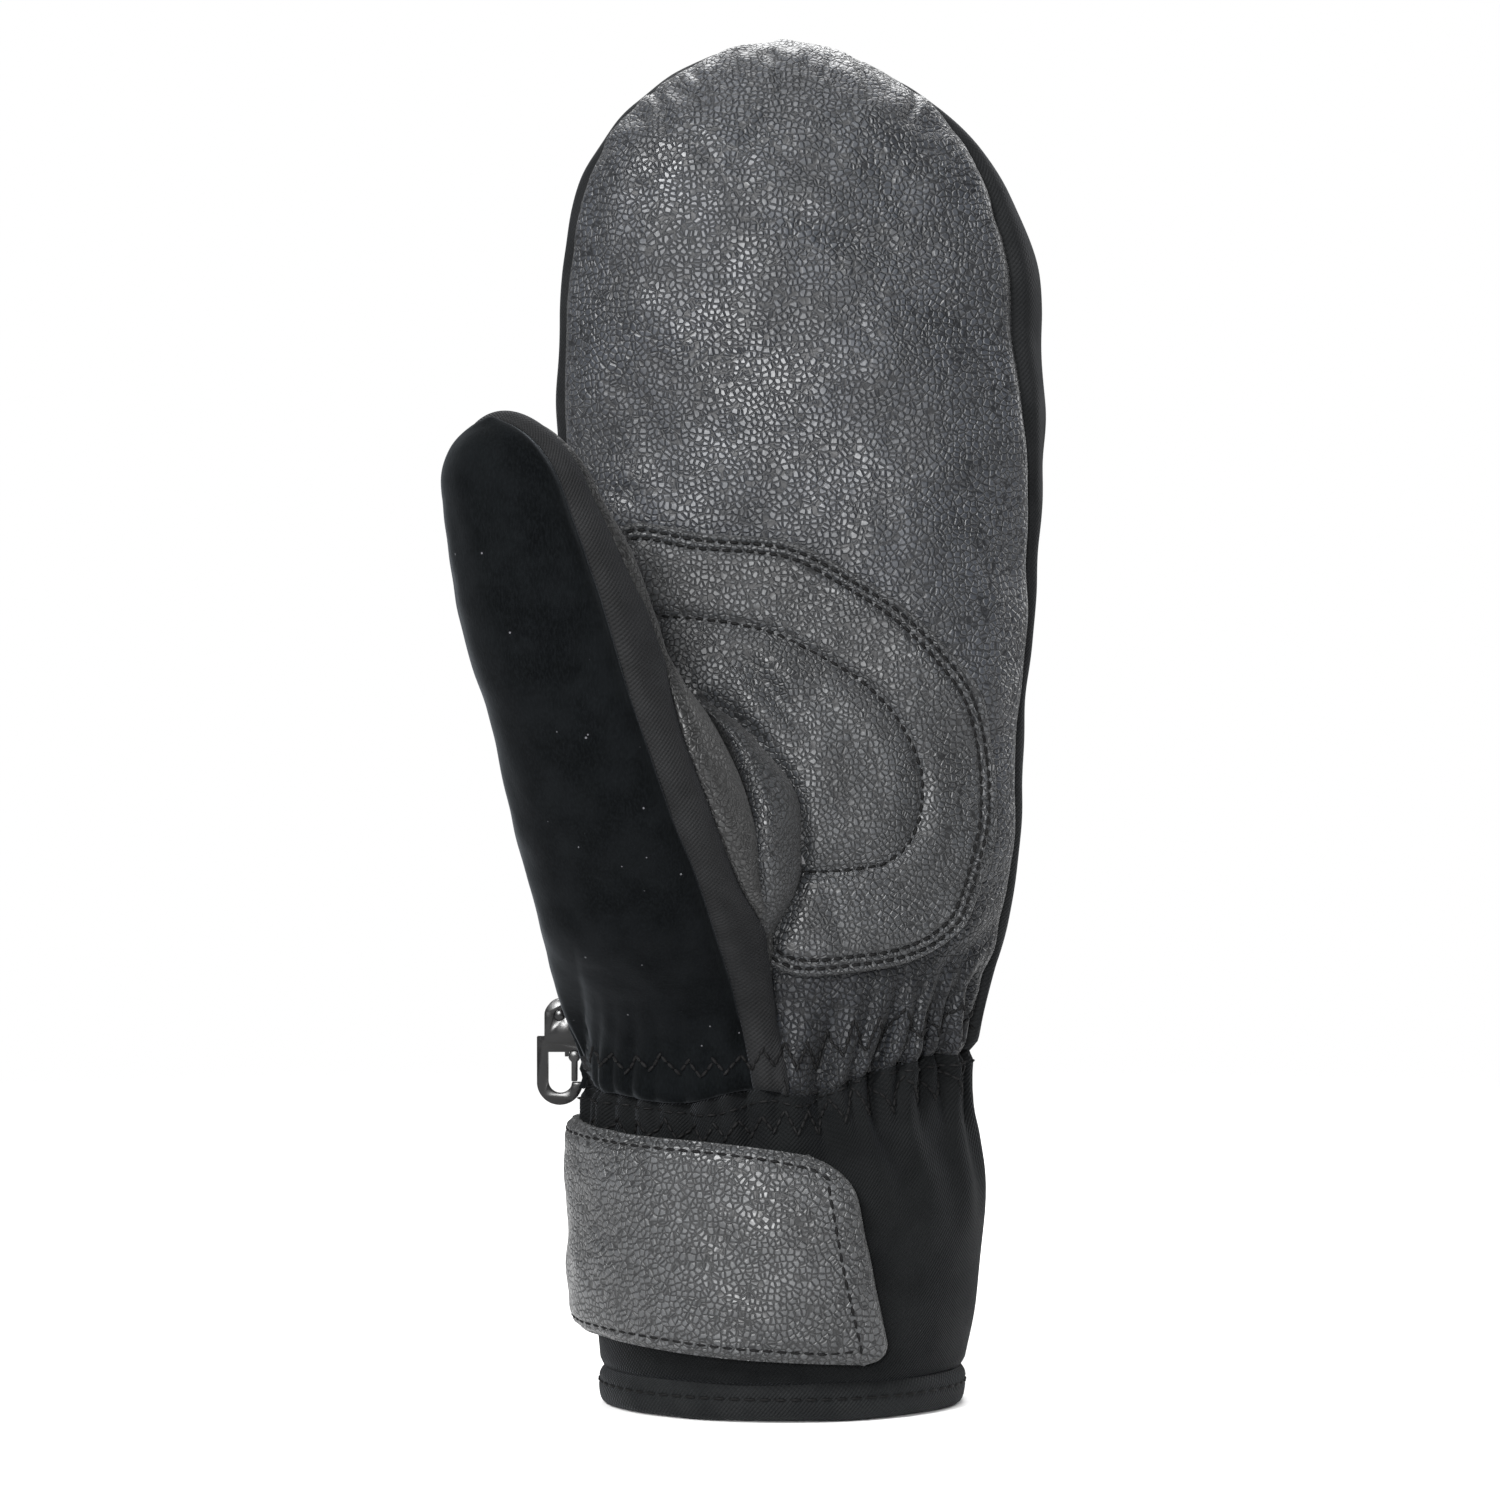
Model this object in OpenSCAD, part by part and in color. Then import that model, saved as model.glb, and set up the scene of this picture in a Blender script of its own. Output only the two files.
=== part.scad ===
// Left-hand ski mitten standing on its cuff: palm towards -Y, thumb towards -X, fingertips up.
// The origin is the centre of the cuff's opening, on the plane of its bottom rim.

/* [Hand] */
// Height of the fingertips above the cuff's rim
mitten_height = 271; // [268:1:276]
// Half the width of the finger pocket
finger_half_width = 48; // [46:0.5:50]
// Half the depth of the finger pocket
finger_half_depth = 22; // [21:0.5:23]
// Half the width of the wrist
wrist_half_width = 38; // [37:0.5:39]
// Height of the seam between hand and cuff
cuff_seam_height = 66; // [65:0.5:67]
// Height of the fold line across the knuckles
knuckle_height = 182; // [181:0.5:184]
// How far the finger pocket folds towards the palm, in degrees
knuckle_travel = 40; // [30:1:45]

/* [Thumb] */
// Half the width of the thumb at its joint
thumb_half_width = 19.2; // [18.4:0.2:19.6]
// Half the depth of the thumb at its joint
thumb_half_depth = 16.8; // [16:0.2:17.2]
// Length of the rounded thumb tip
thumb_tip_length = 17.5; // [16:0.5:18.5]
// How far the thumb swings over the palm, in degrees
thumb_travel_in = 25; // [20:1:30]
// How far the thumb swings away from the palm, in degrees
thumb_travel_out = 10; // [6:1:12]

/* [Layers] */
// Thickness of the leather and softshell
skin = 1.2; // [1:0.1:1.4]
// Thickness of the waterproof membrane
membrane = 0.4; // [0.3:0.1:0.5]
// Thickness of the insulation
insulation = 3.4; // [3:0.1:4]
// Thickness of the brushed liner
liner = 1.4; // [1.2:0.1:1.6]
// Height of the hem band at the cuff's rim
hem_height = 7.4; // [6:0.2:8]

/* [Strap] */
// Height of the strap tab's lower edge at the thumb side
strap_low = 16; // [15:0.5:18]
// Height of the strap tab's upper edge at the thumb side
strap_high = 57; // [54:0.5:58]
// Thickness of the strap leather, folded at its edges
strap_thickness = 1.6; // [1.4:0.1:1.8]

/* [Clip] */
// Height of the pin that the clip hangs from
clip_pin_height = 77; // [76.5:0.5:78]
// Radius of the hanging pin
clip_pin_radius = 1.1; // [1:0.05:1.2]
// Thickness of the moulded clip
clip_thickness = 3.4; // [3:0.1:3.8]

/* [Hidden] */
joint_gap = 0.2;
knuckle_depth = -4;
dome_start = mitten_height - 55;
crotch_height = 138;
thumb_joint_height = 143;
lining_start = 80;
// Depths below the outer surface where one layer ends and the next begins
skin_in = skin;
membrane_in = skin_in + membrane;
insulation_in = membrane_in + insulation;
liner_in = insulation_in + liner;
elastic_in = skin + 0.8;
lining_outer = skin + 1.1;
lining_inner = lining_outer + 2;

// ---- Grids: a wall is two matching grids of points, outer and inner, with some cells left out ----

function two_triangles(a, b, c, d) = [[a, b, c], [a, c, d]];
function is_set(mask, j, i, columns, wrap) =
    j < 0 || j >= len(mask) ? false
    : wrap ? mask[j][(i + columns) % columns]
    : i < 0 || i >= columns ? false : mask[j][i];

// One cell's faces: outer, inner, and a side wall wherever the neighbour is missing
function cell_faces(mask, j, i, columns, points, inner, wrap, capped) =
    let (
        next = wrap ? (i + 1) % points : i + 1,
        a = j * points + i, b = (j + 1) * points + i,
        c = (j + 1) * points + next, d = j * points + next,
        last = j == len(mask) - 1
    )
    concat(
        two_triangles(a, b, c, d),
        two_triangles(inner + a, inner + d, inner + c, inner + b),
        is_set(mask, j, i - 1, columns, wrap) ? [] : two_triangles(b, a, inner + a, inner + b),
        is_set(mask, j, i + 1, columns, wrap) ? [] : two_triangles(d, c, inner + c, inner + d),
        is_set(mask, j - 1, i, columns, wrap) ? [] : two_triangles(a, d, inner + d, inner + a),
        is_set(mask, j + 1, i, columns, wrap) || (capped && last) ? []
            : two_triangles(c, b, inner + b, inner + c)
    );

module wall(outer, inner, mask, wrap = false, capped = false) {
    points = len(outer[0]);
    columns = len(mask[0]);
    count = points * len(outer);
    last = (len(outer) - 1) * points;
    cells = [for (j = [0:len(mask) - 1]) for (i = [0:columns - 1]) if (mask[j][i])
        each cell_faces(mask, j, i, columns, points, count, wrap, capped)];
    cap = !capped ? [] : [for (i = [1:points - 2]) each [
        [last, last + i + 1, last + i],
        [count + last, count + last + i, count + last + i + 1]
    ]];
    // The last ring of a capped wall is closed by a flat disc outside and another inside
    polyhedron(
        points = concat([for (ring = outer) each ring], [for (ring = inner) each ring]),
        faces = [for (f = concat(cells, cap)) [f[0], f[2], f[1]]],
        convexity = 8
    );
}

// ---- The hand's outline: an angle of 0 faces the palm (-Y), 90 the little-finger side (+X) ----

function signed_power(v, p) = sign(v) * pow(abs(v), p);
function smooth(v) = let (t = min(1, max(0, v))) t * t * (3 - 2 * t);
function half_width(z) = lookup(z, [
    [0, 36], [8, 36.5], [20, 38.2], [45, 39.6], [60, 38.4], [66, wrist_half_width],
    [80, 39.5], [96, 42.3], [116, 44], [136, 45.4], [156, 46.3], [176, finger_half_width]
]);
function half_depth(z) = lookup(z, [
    [0, 28], [45, 28], [60, 26], [66, 25.5], [80, 24.5], [100, 23.5], [140, finger_half_depth]
]);
function centre_x(z) = lookup(z, [
    [0, 0], [45, 0.5], [66, -0.9], [96, 2.3], [136, 3.4], [216, 3.7], [271, -0.4]
]);
function squareness(z) = lookup(z, [[0, 1], [66, 1], [110, 0.85]]);

// A point of the hand at height z, at an angle, and at a depth below the outer surface
function hand_point(z, angle, depth) =
    let (
        rise = max(0, z - dome_start) / (mitten_height - dome_start),
        inner_top = mitten_height - dome_start - depth,
        shrink = sqrt(max(0, 1 - rise * rise)),
        height = z <= dome_start ? z : dome_start + inner_top * rise,
        p = squareness(z)
    )
    [
        centre_x(z) + (half_width(z) - depth) * shrink * signed_power(sin(angle), p),
        -(half_depth(z) - depth) * shrink * signed_power(cos(angle), p),
        height
    ];
// The angle at which the palm side of the outline has this x
function palm_angle(z, x) =
    let (s = (x - centre_x(z)) / half_width(z)) asin(signed_power(s, 1 / squareness(z)));

// ---- Columns of the hand: side seam, thumb opening, little-finger seam ----

side_seam_steps = 2;
opening_steps = 10;
palm_steps = 10;
back_steps = 16;
opening_first = side_seam_steps;
opening_last = opening_first + opening_steps;
palm_last = opening_last + palm_steps;
hand_columns = palm_last + back_steps;

function side_seam(z) = lookup(z, [[66, -98], [110, -94], [150, -80]]);
function opening_left(z) =
    z < 110 ? side_seam(z) + lookup(z, [[66, 2], [110, 14]])
    : lookup(z, [[110, -80], [138, -47], [182, -50], [270, -55]]);
function opening_right(z) = palm_angle(z, lookup(z, [
    [66, 2.2], [86, -0.8], [93, -2.4], [98, -0.6], [105, 3], [119, 3], [126, 0],
    [133, -6.2], [138, -13], [182, -13], [250, -8]
]));
little_seam = 78;
function mixed(a, b, t) = a + (b - a) * t;
function column_angle(z, i) =
    i <= opening_first ? mixed(side_seam(z), opening_left(z), i / side_seam_steps)
    : i <= opening_last
        ? mixed(opening_left(z), opening_right(z), (i - opening_first) / opening_steps)
    : i <= palm_last ? mixed(opening_right(z), little_seam, (i - opening_last) / palm_steps)
    : mixed(little_seam, 360 + side_seam(z), (i - palm_last) / back_steps);
function in_palm(i) = i < palm_last;
function in_opening(i) = i >= opening_first && i < opening_last;

// Rings of the hand below and above the fold line; the fold leaves a wedge open on the palm side
hand_rings = [cuff_seam_height, 72, lining_start, 90, 98, 105, 112, 119, 128, crotch_height, 150, 165,
    knuckle_height - joint_gap];
opening_rings = 9;
dome_steps = [0.26, 0.5, 0.7, 0.86, 0.95, 0.99, 0.9993];
finger_rings = concat(
    [knuckle_height + joint_gap, 199, dome_start],
    [for (s = dome_steps) dome_start + (mitten_height - dome_start) * s]
);
fold_slope = tan(knuckle_travel / 2);
function folded(point, share) =
    point + [0, 0, share * fold_slope * max(0, knuckle_depth - point[1])];
function hand_grid(depth) = [for (z = hand_rings) [for (i = [0:hand_columns - 1])
    folded(hand_point(z, column_angle(z, i), depth), -max(0, z - 150) / (knuckle_height - 150))]];
function finger_grid(depth) = [for (z = finger_rings) [for (i = [0:hand_columns - 1])
    folded(hand_point(z, column_angle(z, i), depth),
        max(0, dome_start - z) / (dome_start - knuckle_height))]];

hand_rows = len(hand_rings) - 1;
finger_rows = len(finger_rings) - 1;
function whole_mask(rows, columns) = [for (j = [1:rows]) [for (i = [1:columns]) true]];
// first_row leaves out the rings below the start of a lining
function hand_mask(first_row, palm, back) = [for (j = [0:hand_rows - 1])
    [for (i = [0:hand_columns - 1])
        j >= first_row && !(j < opening_rings && in_opening(i)) && (in_palm(i) ? palm : back)]];
function finger_mask(palm, back) = [for (j = [0:finger_rows - 1])
    [for (i = [0:hand_columns - 1]) in_palm(i) ? palm : back]];
lining_row = 2;

module hand_wall(from, to, first_row, palm, back) {
    wall(hand_grid(from), hand_grid(to), hand_mask(first_row, palm, back), wrap = true);
}
module finger_wall(from, to, palm, back) {
    wall(finger_grid(from), finger_grid(to), finger_mask(palm, back), wrap = true,
        capped = palm && back);
}

module palm_leather() { color("#606163") hand_wall(0, skin_in, 0, true, false); }
module palm_leather_fingers() { color("#606163") finger_wall(0, skin_in, true, false); }
module back_softshell() { color("#3f4042") hand_wall(0, skin_in, 0, false, true); }
module back_softshell_fingers() { color("#3f4042") finger_wall(0, skin_in, false, true); }
module membrane_hand() {
    color("white") hand_wall(skin_in, membrane_in, lining_row, true, true);
}
module membrane_fingers() { color("white") finger_wall(skin_in, membrane_in, true, true); }
module insulation_palm() {
    color("khaki") hand_wall(membrane_in, insulation_in, lining_row, true, false);
}
module insulation_palm_fingers() {
    color("khaki") finger_wall(membrane_in, insulation_in, true, false);
}
module insulation_back() {
    color("khaki") hand_wall(membrane_in, insulation_in, lining_row, false, true);
}
module insulation_back_fingers() {
    color("khaki") finger_wall(membrane_in, insulation_in, false, true);
}
module liner_hand() { color("dimgray") hand_wall(insulation_in, liner_in, lining_row, true, true); }
module liner_fingers() { color("dimgray") finger_wall(insulation_in, liner_in, true, true); }

// ---- Palm patch and the pad under its middle ----

patch_top = 173;
patch_bottom = 88;
patch_middle = 120;
function patch_right(z) =
    z >= patch_middle
    ? -30 + 72 * sqrt(max(0, 1 - pow((z - patch_middle) / (patch_top - patch_middle), 2)))
    : 14 + 28 * pow(max(0, 1 - pow((patch_middle - z) / (patch_middle - patch_bottom), 2.6)), 0.5);
pad_top = 155;
pad_bottom = 105;
function pad_right(z) =
    let (middle = (pad_top + pad_bottom) / 2)
    -8 + 36 * sqrt(max(0, 1 - pow((z - middle) / (pad_top - middle), 2)));
function patch_left(z) =
    z > crotch_height ? mixed(-13, -31, min(1, (z - crotch_height) / 8))
    : centre_x(z) + half_width(z) * signed_power(sin(opening_right(z)), squareness(z)) + 0.6;

// A sheet on the palm between two heights, reaching from its left edge to a curved right edge
module palm_sheet(low, high, rows, columns, left_at, right_at, from, to) {
    function row_height(j) = mixed(low, high, (1 - cos(180 * j / rows)) / 2);
    function sheet(depth) = [for (j = [0:rows])
        let (z = row_height(j), left = left_at(z), right = max(left + 2, right_at(z)))
        [for (i = [0:columns])
            let (p = hand_point(z, palm_angle(z, mixed(left, right, i / columns)), 0))
            p - [0, depth, 0]]];
    wall(sheet(to), sheet(from), whole_mask(rows, columns));
}
module palm_patch() {
    color("#5f6163") palm_sheet(patch_bottom + 0.5, patch_top - 0.5, 14, 8,
        function (z) patch_left(z), function (z) patch_right(z), 1.4, 2.4);
}
module palm_pad() {
    color("gray") palm_sheet(pad_bottom + 0.5, pad_top - 0.5, 8, 5,
        function (z) max(-8, patch_left(z) + 1), function (z) pad_right(z), 0.3, 0.9);
}

// ---- Thumb: below its joint the wall is open towards the hand, above it the wall is closed ----

thumb_centre_x = [
    [66, -18.5], [78, -21.7], [91, -24], [105, -26.3], [117, -28.8], [128, -32], [137, -35.7],
    [143, -38.8], [155, -42.7], [167, -45.9], [178, -49.7]
];
thumb_centre_y = [
    [66, -9], [78, -17], [91, -24], [105, -30], [117, -35], [128, -38.5], [143, -42.6], [178, -46]
];
function thumb_centre(z) = [lookup(z, thumb_centre_x), lookup(z, thumb_centre_y), z];
function thumb_width_at(z) = lookup(z, [
    [66, 20.5], [91, 22], [117, 23], [128, 22.3], [137, 20.5], [143, thumb_half_width],
    [155, 18.2], [167, 17.2], [178, 15]
]);
function thumb_depth_at(z) = lookup(z, [
    [66, 14.5], [91, 16.5], [105, 17.5], [128, 17.8], [143, thumb_half_depth], [167, 15.8], [178, 14.6]
]);
thumb_lean = [0.29, 0.16];
thumb_direction = [-thumb_lean[0], -thumb_lean[1], 1] / norm([thumb_lean[0], thumb_lean[1], 1]);
function lean_share(z) = smooth((z - 90) / (crotch_height - 90));
// A point of the thumb's ring; angle 0 faces -Y, 90 faces +X
function ring_point(z, angle, depth, shrink = 1) =
    let (
        x = (thumb_width_at(z) - depth) * shrink * sin(angle),
        y = -(thumb_depth_at(z) - depth) * shrink * cos(angle)
    )
    thumb_centre(z) + [x, y, lean_share(z) * (thumb_lean[0] * x + thumb_lean[1] * y)];

base_columns = 18;
edge_angle = 0.8;
base_start = -160;
base_end = 150;
// The wedges that the thumb's two swings close up, seen along the joint's axis
function thumb_cut(point, side) =
    let (u = point[0] - thumb_centre(thumb_joint_height)[0])
    point + [0, 0, side * (joint_gap
        + tan(thumb_travel_in / 2 + 1) * max(0, u) + tan(thumb_travel_out / 2 + 1) * max(0, -u))];

// A point on the hand's own outline, across the opening from its left edge to its right edge
function edge_point(z, share, depth) =
    hand_point(z, mixed(opening_left(z) + edge_angle, opening_right(z) - edge_angle, share), depth);
function base_point(z, share, depth) =
    let (
        on_hand = edge_point(z, share, depth),
        on_ring = ring_point(z, mixed(base_start, base_end, share), depth),
        m = smooth((z - lining_start) / 24)
    )
    mixed(on_hand, on_ring, m);
// The mix is pulled back onto the edges of the hand's opening at both ends
function seated_point(z, share, depth) =
    let (
        left = edge_point(z, 0, depth) - base_point(z, 0, depth),
        right = edge_point(z, 1, depth) - base_point(z, 1, depth),
        pull = function (s) pow(max(0, 1 - s / 0.22), 2)
    )
    base_point(z, share, depth) + left * pull(share) + right * pull(1 - share);
base_rings = [for (j = [0:opening_rings]) hand_rings[j]];
function base_grid(depth) = concat(
    [for (z = base_rings) [for (i = [0:base_columns])
        seated_point(z, i / base_columns, depth)]],
    [[for (i = [0:base_columns])
        thumb_cut(ring_point(thumb_joint_height,
            mixed(base_start, base_end, i / base_columns), depth), -1)]]
);
base_rows = len(base_rings);
function base_mask(first_row, first, last) = [for (j = [0:base_rows - 1])
    [for (i = [0:base_columns - 1]) j >= first_row && i >= first && i < last]];
module base_wall(from, to, first_row, first, last) {
    wall(base_grid(from), base_grid(to), base_mask(first_row, first, last));
}
// Columns where the suede panel and the strip begin and end
panel_first = 3;
panel_last = 11;
strip_last = 13;
module thumb_gusset() { color("#5b5d5e") base_wall(0, skin_in, 0, strip_last, base_columns); }
module thumb_strip_base() {
    color("#333537") {
        base_wall(0, skin_in, 0, panel_last, strip_last);
        base_wall(0, skin_in, 0, 0, panel_first);
    }
}
module thumb_panel_base() { color("#1b1e20") base_wall(0, skin_in, 0, panel_first, panel_last); }
module membrane_thumb_base() {
    color("white") base_wall(skin_in, membrane_in, lining_row, 0, base_columns);
}
module insulation_thumb_base() {
    color("khaki") base_wall(membrane_in, insulation_in, lining_row, 0, base_columns);
}
module liner_thumb_base() {
    color("dimgray") base_wall(insulation_in, liner_in, lining_row, 0, base_columns);
}

// Upper thumb: the same angles as the base, then a few columns round the back
back_columns = 4;
thumb_columns = base_columns + back_columns;
function thumb_angle(i) = i <= base_columns ? mixed(base_start, base_end, i / base_columns)
    : mixed(base_end, 360 + base_start, (i - base_columns) / back_columns);
thumb_rings = [thumb_joint_height, 155, 167, 178];
thumb_dome = [0.3, 0.56, 0.78, 0.92, 0.985, 0.9993];
function thumb_grid(depth) = concat(
    [for (j = [0:len(thumb_rings) - 1]) [for (i = [0:thumb_columns - 1])
        let (p = ring_point(thumb_rings[j], thumb_angle(i), depth))
        j == 0 ? thumb_cut(p, 1) : p + [0, 0, j == 1 ? (thumb_cut(p, 0.4) - p)[2] : 0]]],
    [for (s = thumb_dome) [for (i = [0:thumb_columns - 1])
        ring_point(178, thumb_angle(i), depth, sqrt(1 - s * s))
            + thumb_direction * (thumb_tip_length - depth) * s]]
);
thumb_rows = len(thumb_rings) + len(thumb_dome) - 1;
panel_top_row = thumb_rows - 4;
function in_panel(j, i) = j < panel_top_row && i >= panel_first && i < panel_last;
function in_strip(j, i) = i < strip_last && !in_panel(j, i);
module thumb_leather() {
    color("#404244") wall(thumb_grid(0), thumb_grid(skin_in),
        [for (j = [0:thumb_rows - 1]) [for (i = [0:thumb_columns - 1]) i >= strip_last]],
        wrap = true);
}
module thumb_strip() {
    color("#333537") wall(thumb_grid(0), thumb_grid(skin_in),
        [for (j = [0:thumb_rows - 1]) [for (i = [0:thumb_columns - 1]) in_strip(j, i)]],
        wrap = true);
}
module thumb_panel() {
    color("#1b1e20") wall(thumb_grid(0), thumb_grid(skin_in),
        [for (j = [0:thumb_rows - 1]) [for (i = [0:thumb_columns - 1]) in_panel(j, i)]],
        wrap = true);
}
module closed_thumb(from, to) {
    wall(thumb_grid(from), thumb_grid(to), whole_mask(thumb_rows, thumb_columns), wrap = true,
        capped = true);
}
module membrane_thumb() { color("white") closed_thumb(skin_in, membrane_in); }
module insulation_thumb() { color("khaki") closed_thumb(membrane_in, insulation_in); }
module liner_thumb() { color("dimgray") closed_thumb(insulation_in, liner_in); }

// ---- Cuff ----

cuff_columns = 40;
function cuff_grid(rings, depth) = [for (z = rings) [for (i = [0:cuff_columns - 1])
    hand_point(z, i * 360 / cuff_columns, depth)]];
module cuff_ring(rings, from, to) {
    wall(cuff_grid(rings, from), cuff_grid(rings, to), whole_mask(len(rings) - 1, cuff_columns),
        wrap = true);
}
module cuff_sector(low, high, start, end, columns, from, to) {
    rows = max(2, round((high - low) / 6));
    function sector(depth) = [for (j = [0:rows]) [for (i = [0:columns])
        hand_point(mixed(low, high, j / rows), mixed(start, end, i / columns), depth)]];
    wall(sector(from), sector(to), whole_mask(rows, columns));
}
cuff_rings = [hem_height + 0.1, 20, 33, 45, 55, 60, cuff_seam_height - 0.1];
module cuff_shell() { color("#2a2c2d") cuff_ring(cuff_rings, 0, skin); }
module cuff_lining() {
    color("#3a3c3e") cuff_ring(
        concat(cuff_rings, [cuff_seam_height + 0.1, 72, lining_start - 0.1]),
        lining_outer, lining_inner);
}
module hem_band() { color("#323435") cuff_ring([0, hem_height / 2, hem_height], 0, lining_inner); }
module care_label() {
    color("whitesmoke") cuff_sector(14, 40, 165, 195, 4, lining_inner + 0.3, lining_inner + 0.6);
}
module wrist_elastic_upper() {
    color("#151617") cuff_sector(67, 74, -82, 82, 20, skin + 0.3, elastic_in);
}
module wrist_elastic_lower() {
    color("#151617") cuff_sector(55, 62, -82, 82, 20, skin + 0.3, elastic_in);
}

// ---- Wrist strap: the sewn base runs round the back, the tab folds over the palm side ----

strap_hinge_angle = -95;
strap_back_angle = -160;
tab_rows = 8;
tab_columns = 14;
strap_gap = 0.35;
tab_under = -2.3;
tab_tip_low = 19.5;
tab_tip_high = 8.5;
corner = 5;
module strap_base() {
    color("#5e6062") cuff_sector(strap_low, strap_high - 1, strap_back_angle, strap_hinge_angle - 3,
        10, -strap_thickness - strap_gap, -strap_gap);
}
// The tab's edges at a share of its height, with both tip corners rounded
function tab_bottom(s) = mixed(strap_low, 11, smooth(s));
function tab_top(s) = mixed(strap_high, 51, s * s);
function tab_tip(v) =
    let (
        height = strap_high - strap_low,
        edge = min(v, 1 - v) * height,
        cut = edge >= corner ? 0 : corner - sqrt(corner * corner - pow(corner - edge, 2))
    )
    mixed(tab_tip_low, tab_tip_high, v) - cut;
function tab_grid(depth) = [for (j = [0:tab_rows])
    let (v = (1 - cos(180 * j / tab_rows)) / 2)
    [for (i = [0:tab_columns])
        let (
            s = i / tab_columns,
            z = mixed(tab_bottom(s), tab_top(s), v),
            end = palm_angle(z, tab_tip(v))
        )
        hand_point(z, mixed(strap_hinge_angle, end, s), depth)]];
module strap_tab() {
    color("#5e6062") wall(tab_grid(tab_under - strap_thickness), tab_grid(tab_under),
        whole_mask(tab_rows, tab_columns));
}
module hook_tape() {
    color("#101112") cuff_sector(18, 44, -22, 12, 6, tab_under + 0.3, tab_under + 0.85);
}
module loop_patch() { color("#101112") cuff_sector(14, 47, -50, 24, 12, -0.95, -strap_gap); }

// ---- Glove clip: it hangs from a pin in the webbing loop at the thumb side of the wrist ----

clip_x = -44.5;
clip_y = 3;
clip_half_width = 4.6;
clip_wall = 2.2;
gate_pivot = 2.9;
gate_pivot_rise = 5.1;
gate_pivot_radius = 1.2;
webbing_width = 7;
hook_low = clip_pin_height - 13.5;
// Lays a flat outline drawn in X and Z on its edge, so that it faces sideways
module upright(thickness) {
    translate([clip_x, clip_y, 0]) rotate([90, 0, 0]) linear_extrude(thickness, center = true)
        children();
}
// A strip of webbing round the pin, with its two ends sewn into the wrist seam
module clip_webbing() {
    color("#0e0f10") translate([0, clip_y, 0]) rotate([90, 0, 0])
        linear_extrude(webbing_width - 3.2, center = true) difference() {
            union() {
                translate([clip_x, clip_pin_height]) circle(2.3, $fn = 32);
                translate([clip_x, clip_pin_height - 2.3]) square([4.3, 4.6]);
            }
            translate([clip_x, clip_pin_height]) circle(clip_pin_radius + 0.05, $fn = 32);
        }
}
module clip_pin() {
    color("#1a1b1c") translate([clip_x, clip_y, clip_pin_height]) rotate([90, 0, 0])
        cylinder(r = clip_pin_radius, h = webbing_width + 0.6, center = true, $fn = 32);
}
// Two cheeks hold the pin; below them the hook bends round to an open side that the gate closes
module clip_hook() {
    color("#1a1b1c") {
        for (side = [-1, 1])
            translate([0, clip_y + side * 3.05, 0]) rotate([90, 0, 0])
                linear_extrude(1.5, center = true) difference() {
                    union() {
                        translate([clip_x, clip_pin_height]) circle(3, $fn = 32);
                        translate([clip_x - 3, clip_pin_height - 5.4]) square([6, 5.4]);
                    }
                    translate([clip_x, clip_pin_height])
                        circle(clip_pin_radius + 0.05, $fn = 32);
                }
        translate([clip_x, clip_y, clip_pin_height - 4.3]) cube([6, 7.6, 2.2], center = true);
        upright(clip_thickness) translate([0, hook_low]) difference() {
            union() {
                circle(clip_half_width, $fn = 48);
                translate([-clip_half_width, 0]) square([clip_wall, 9]);
                translate([-clip_half_width, 6]) square([clip_half_width * 2, 3]);
                translate([gate_pivot - 1.9, 5.1]) square([3.8, 1.5]);
            }
            circle(clip_half_width - clip_wall, $fn = 48);
            translate([clip_wall - clip_half_width, -0.2]) square([clip_half_width * 2, 5.3]);
            translate([clip_wall - clip_half_width, 5]) square([gate_pivot - 2.5, 1]);
            translate([gate_pivot, gate_pivot_rise]) circle(gate_pivot_radius + 0.06, $fn = 48);
        }
    }
}
// The gate is a springy tongue that closes the hook's open side; its round root sits in a socket
module clip_gate() {
    color("#2a2b2d") upright(clip_thickness - 0.4) translate([gate_pivot, hook_low]) union() {
        translate([0, gate_pivot_rise]) circle(gate_pivot_radius, $fn = 48);
        translate([-0.6, 0.1]) square([1.2, gate_pivot_rise - 0.1]);
    }
}

palm_leather();
palm_leather_fingers();
back_softshell();
back_softshell_fingers();
palm_patch();
palm_pad();
membrane_hand();
membrane_fingers();
insulation_palm();
insulation_palm_fingers();
insulation_back();
insulation_back_fingers();
liner_hand();
liner_fingers();
thumb_gusset();
thumb_strip_base();
thumb_panel_base();
membrane_thumb_base();
insulation_thumb_base();
liner_thumb_base();
thumb_leather();
thumb_strip();
thumb_panel();
membrane_thumb();
insulation_thumb();
liner_thumb();
wrist_elastic_upper();
wrist_elastic_lower();
cuff_shell();
cuff_lining();
hem_band();
care_label();
strap_base();
strap_tab();
hook_tape();
loop_patch();
clip_webbing();
clip_pin();
clip_hook();
clip_gate();
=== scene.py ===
"""A padded ski mitten: leather palm, softshell back, suede thumb, stretch cuff, strap and clip."""

import math

import bmesh
import bpy
import numpy as np
from mathutils import Matrix, Vector
from mathutils.bvhtree import BVHTree


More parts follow.
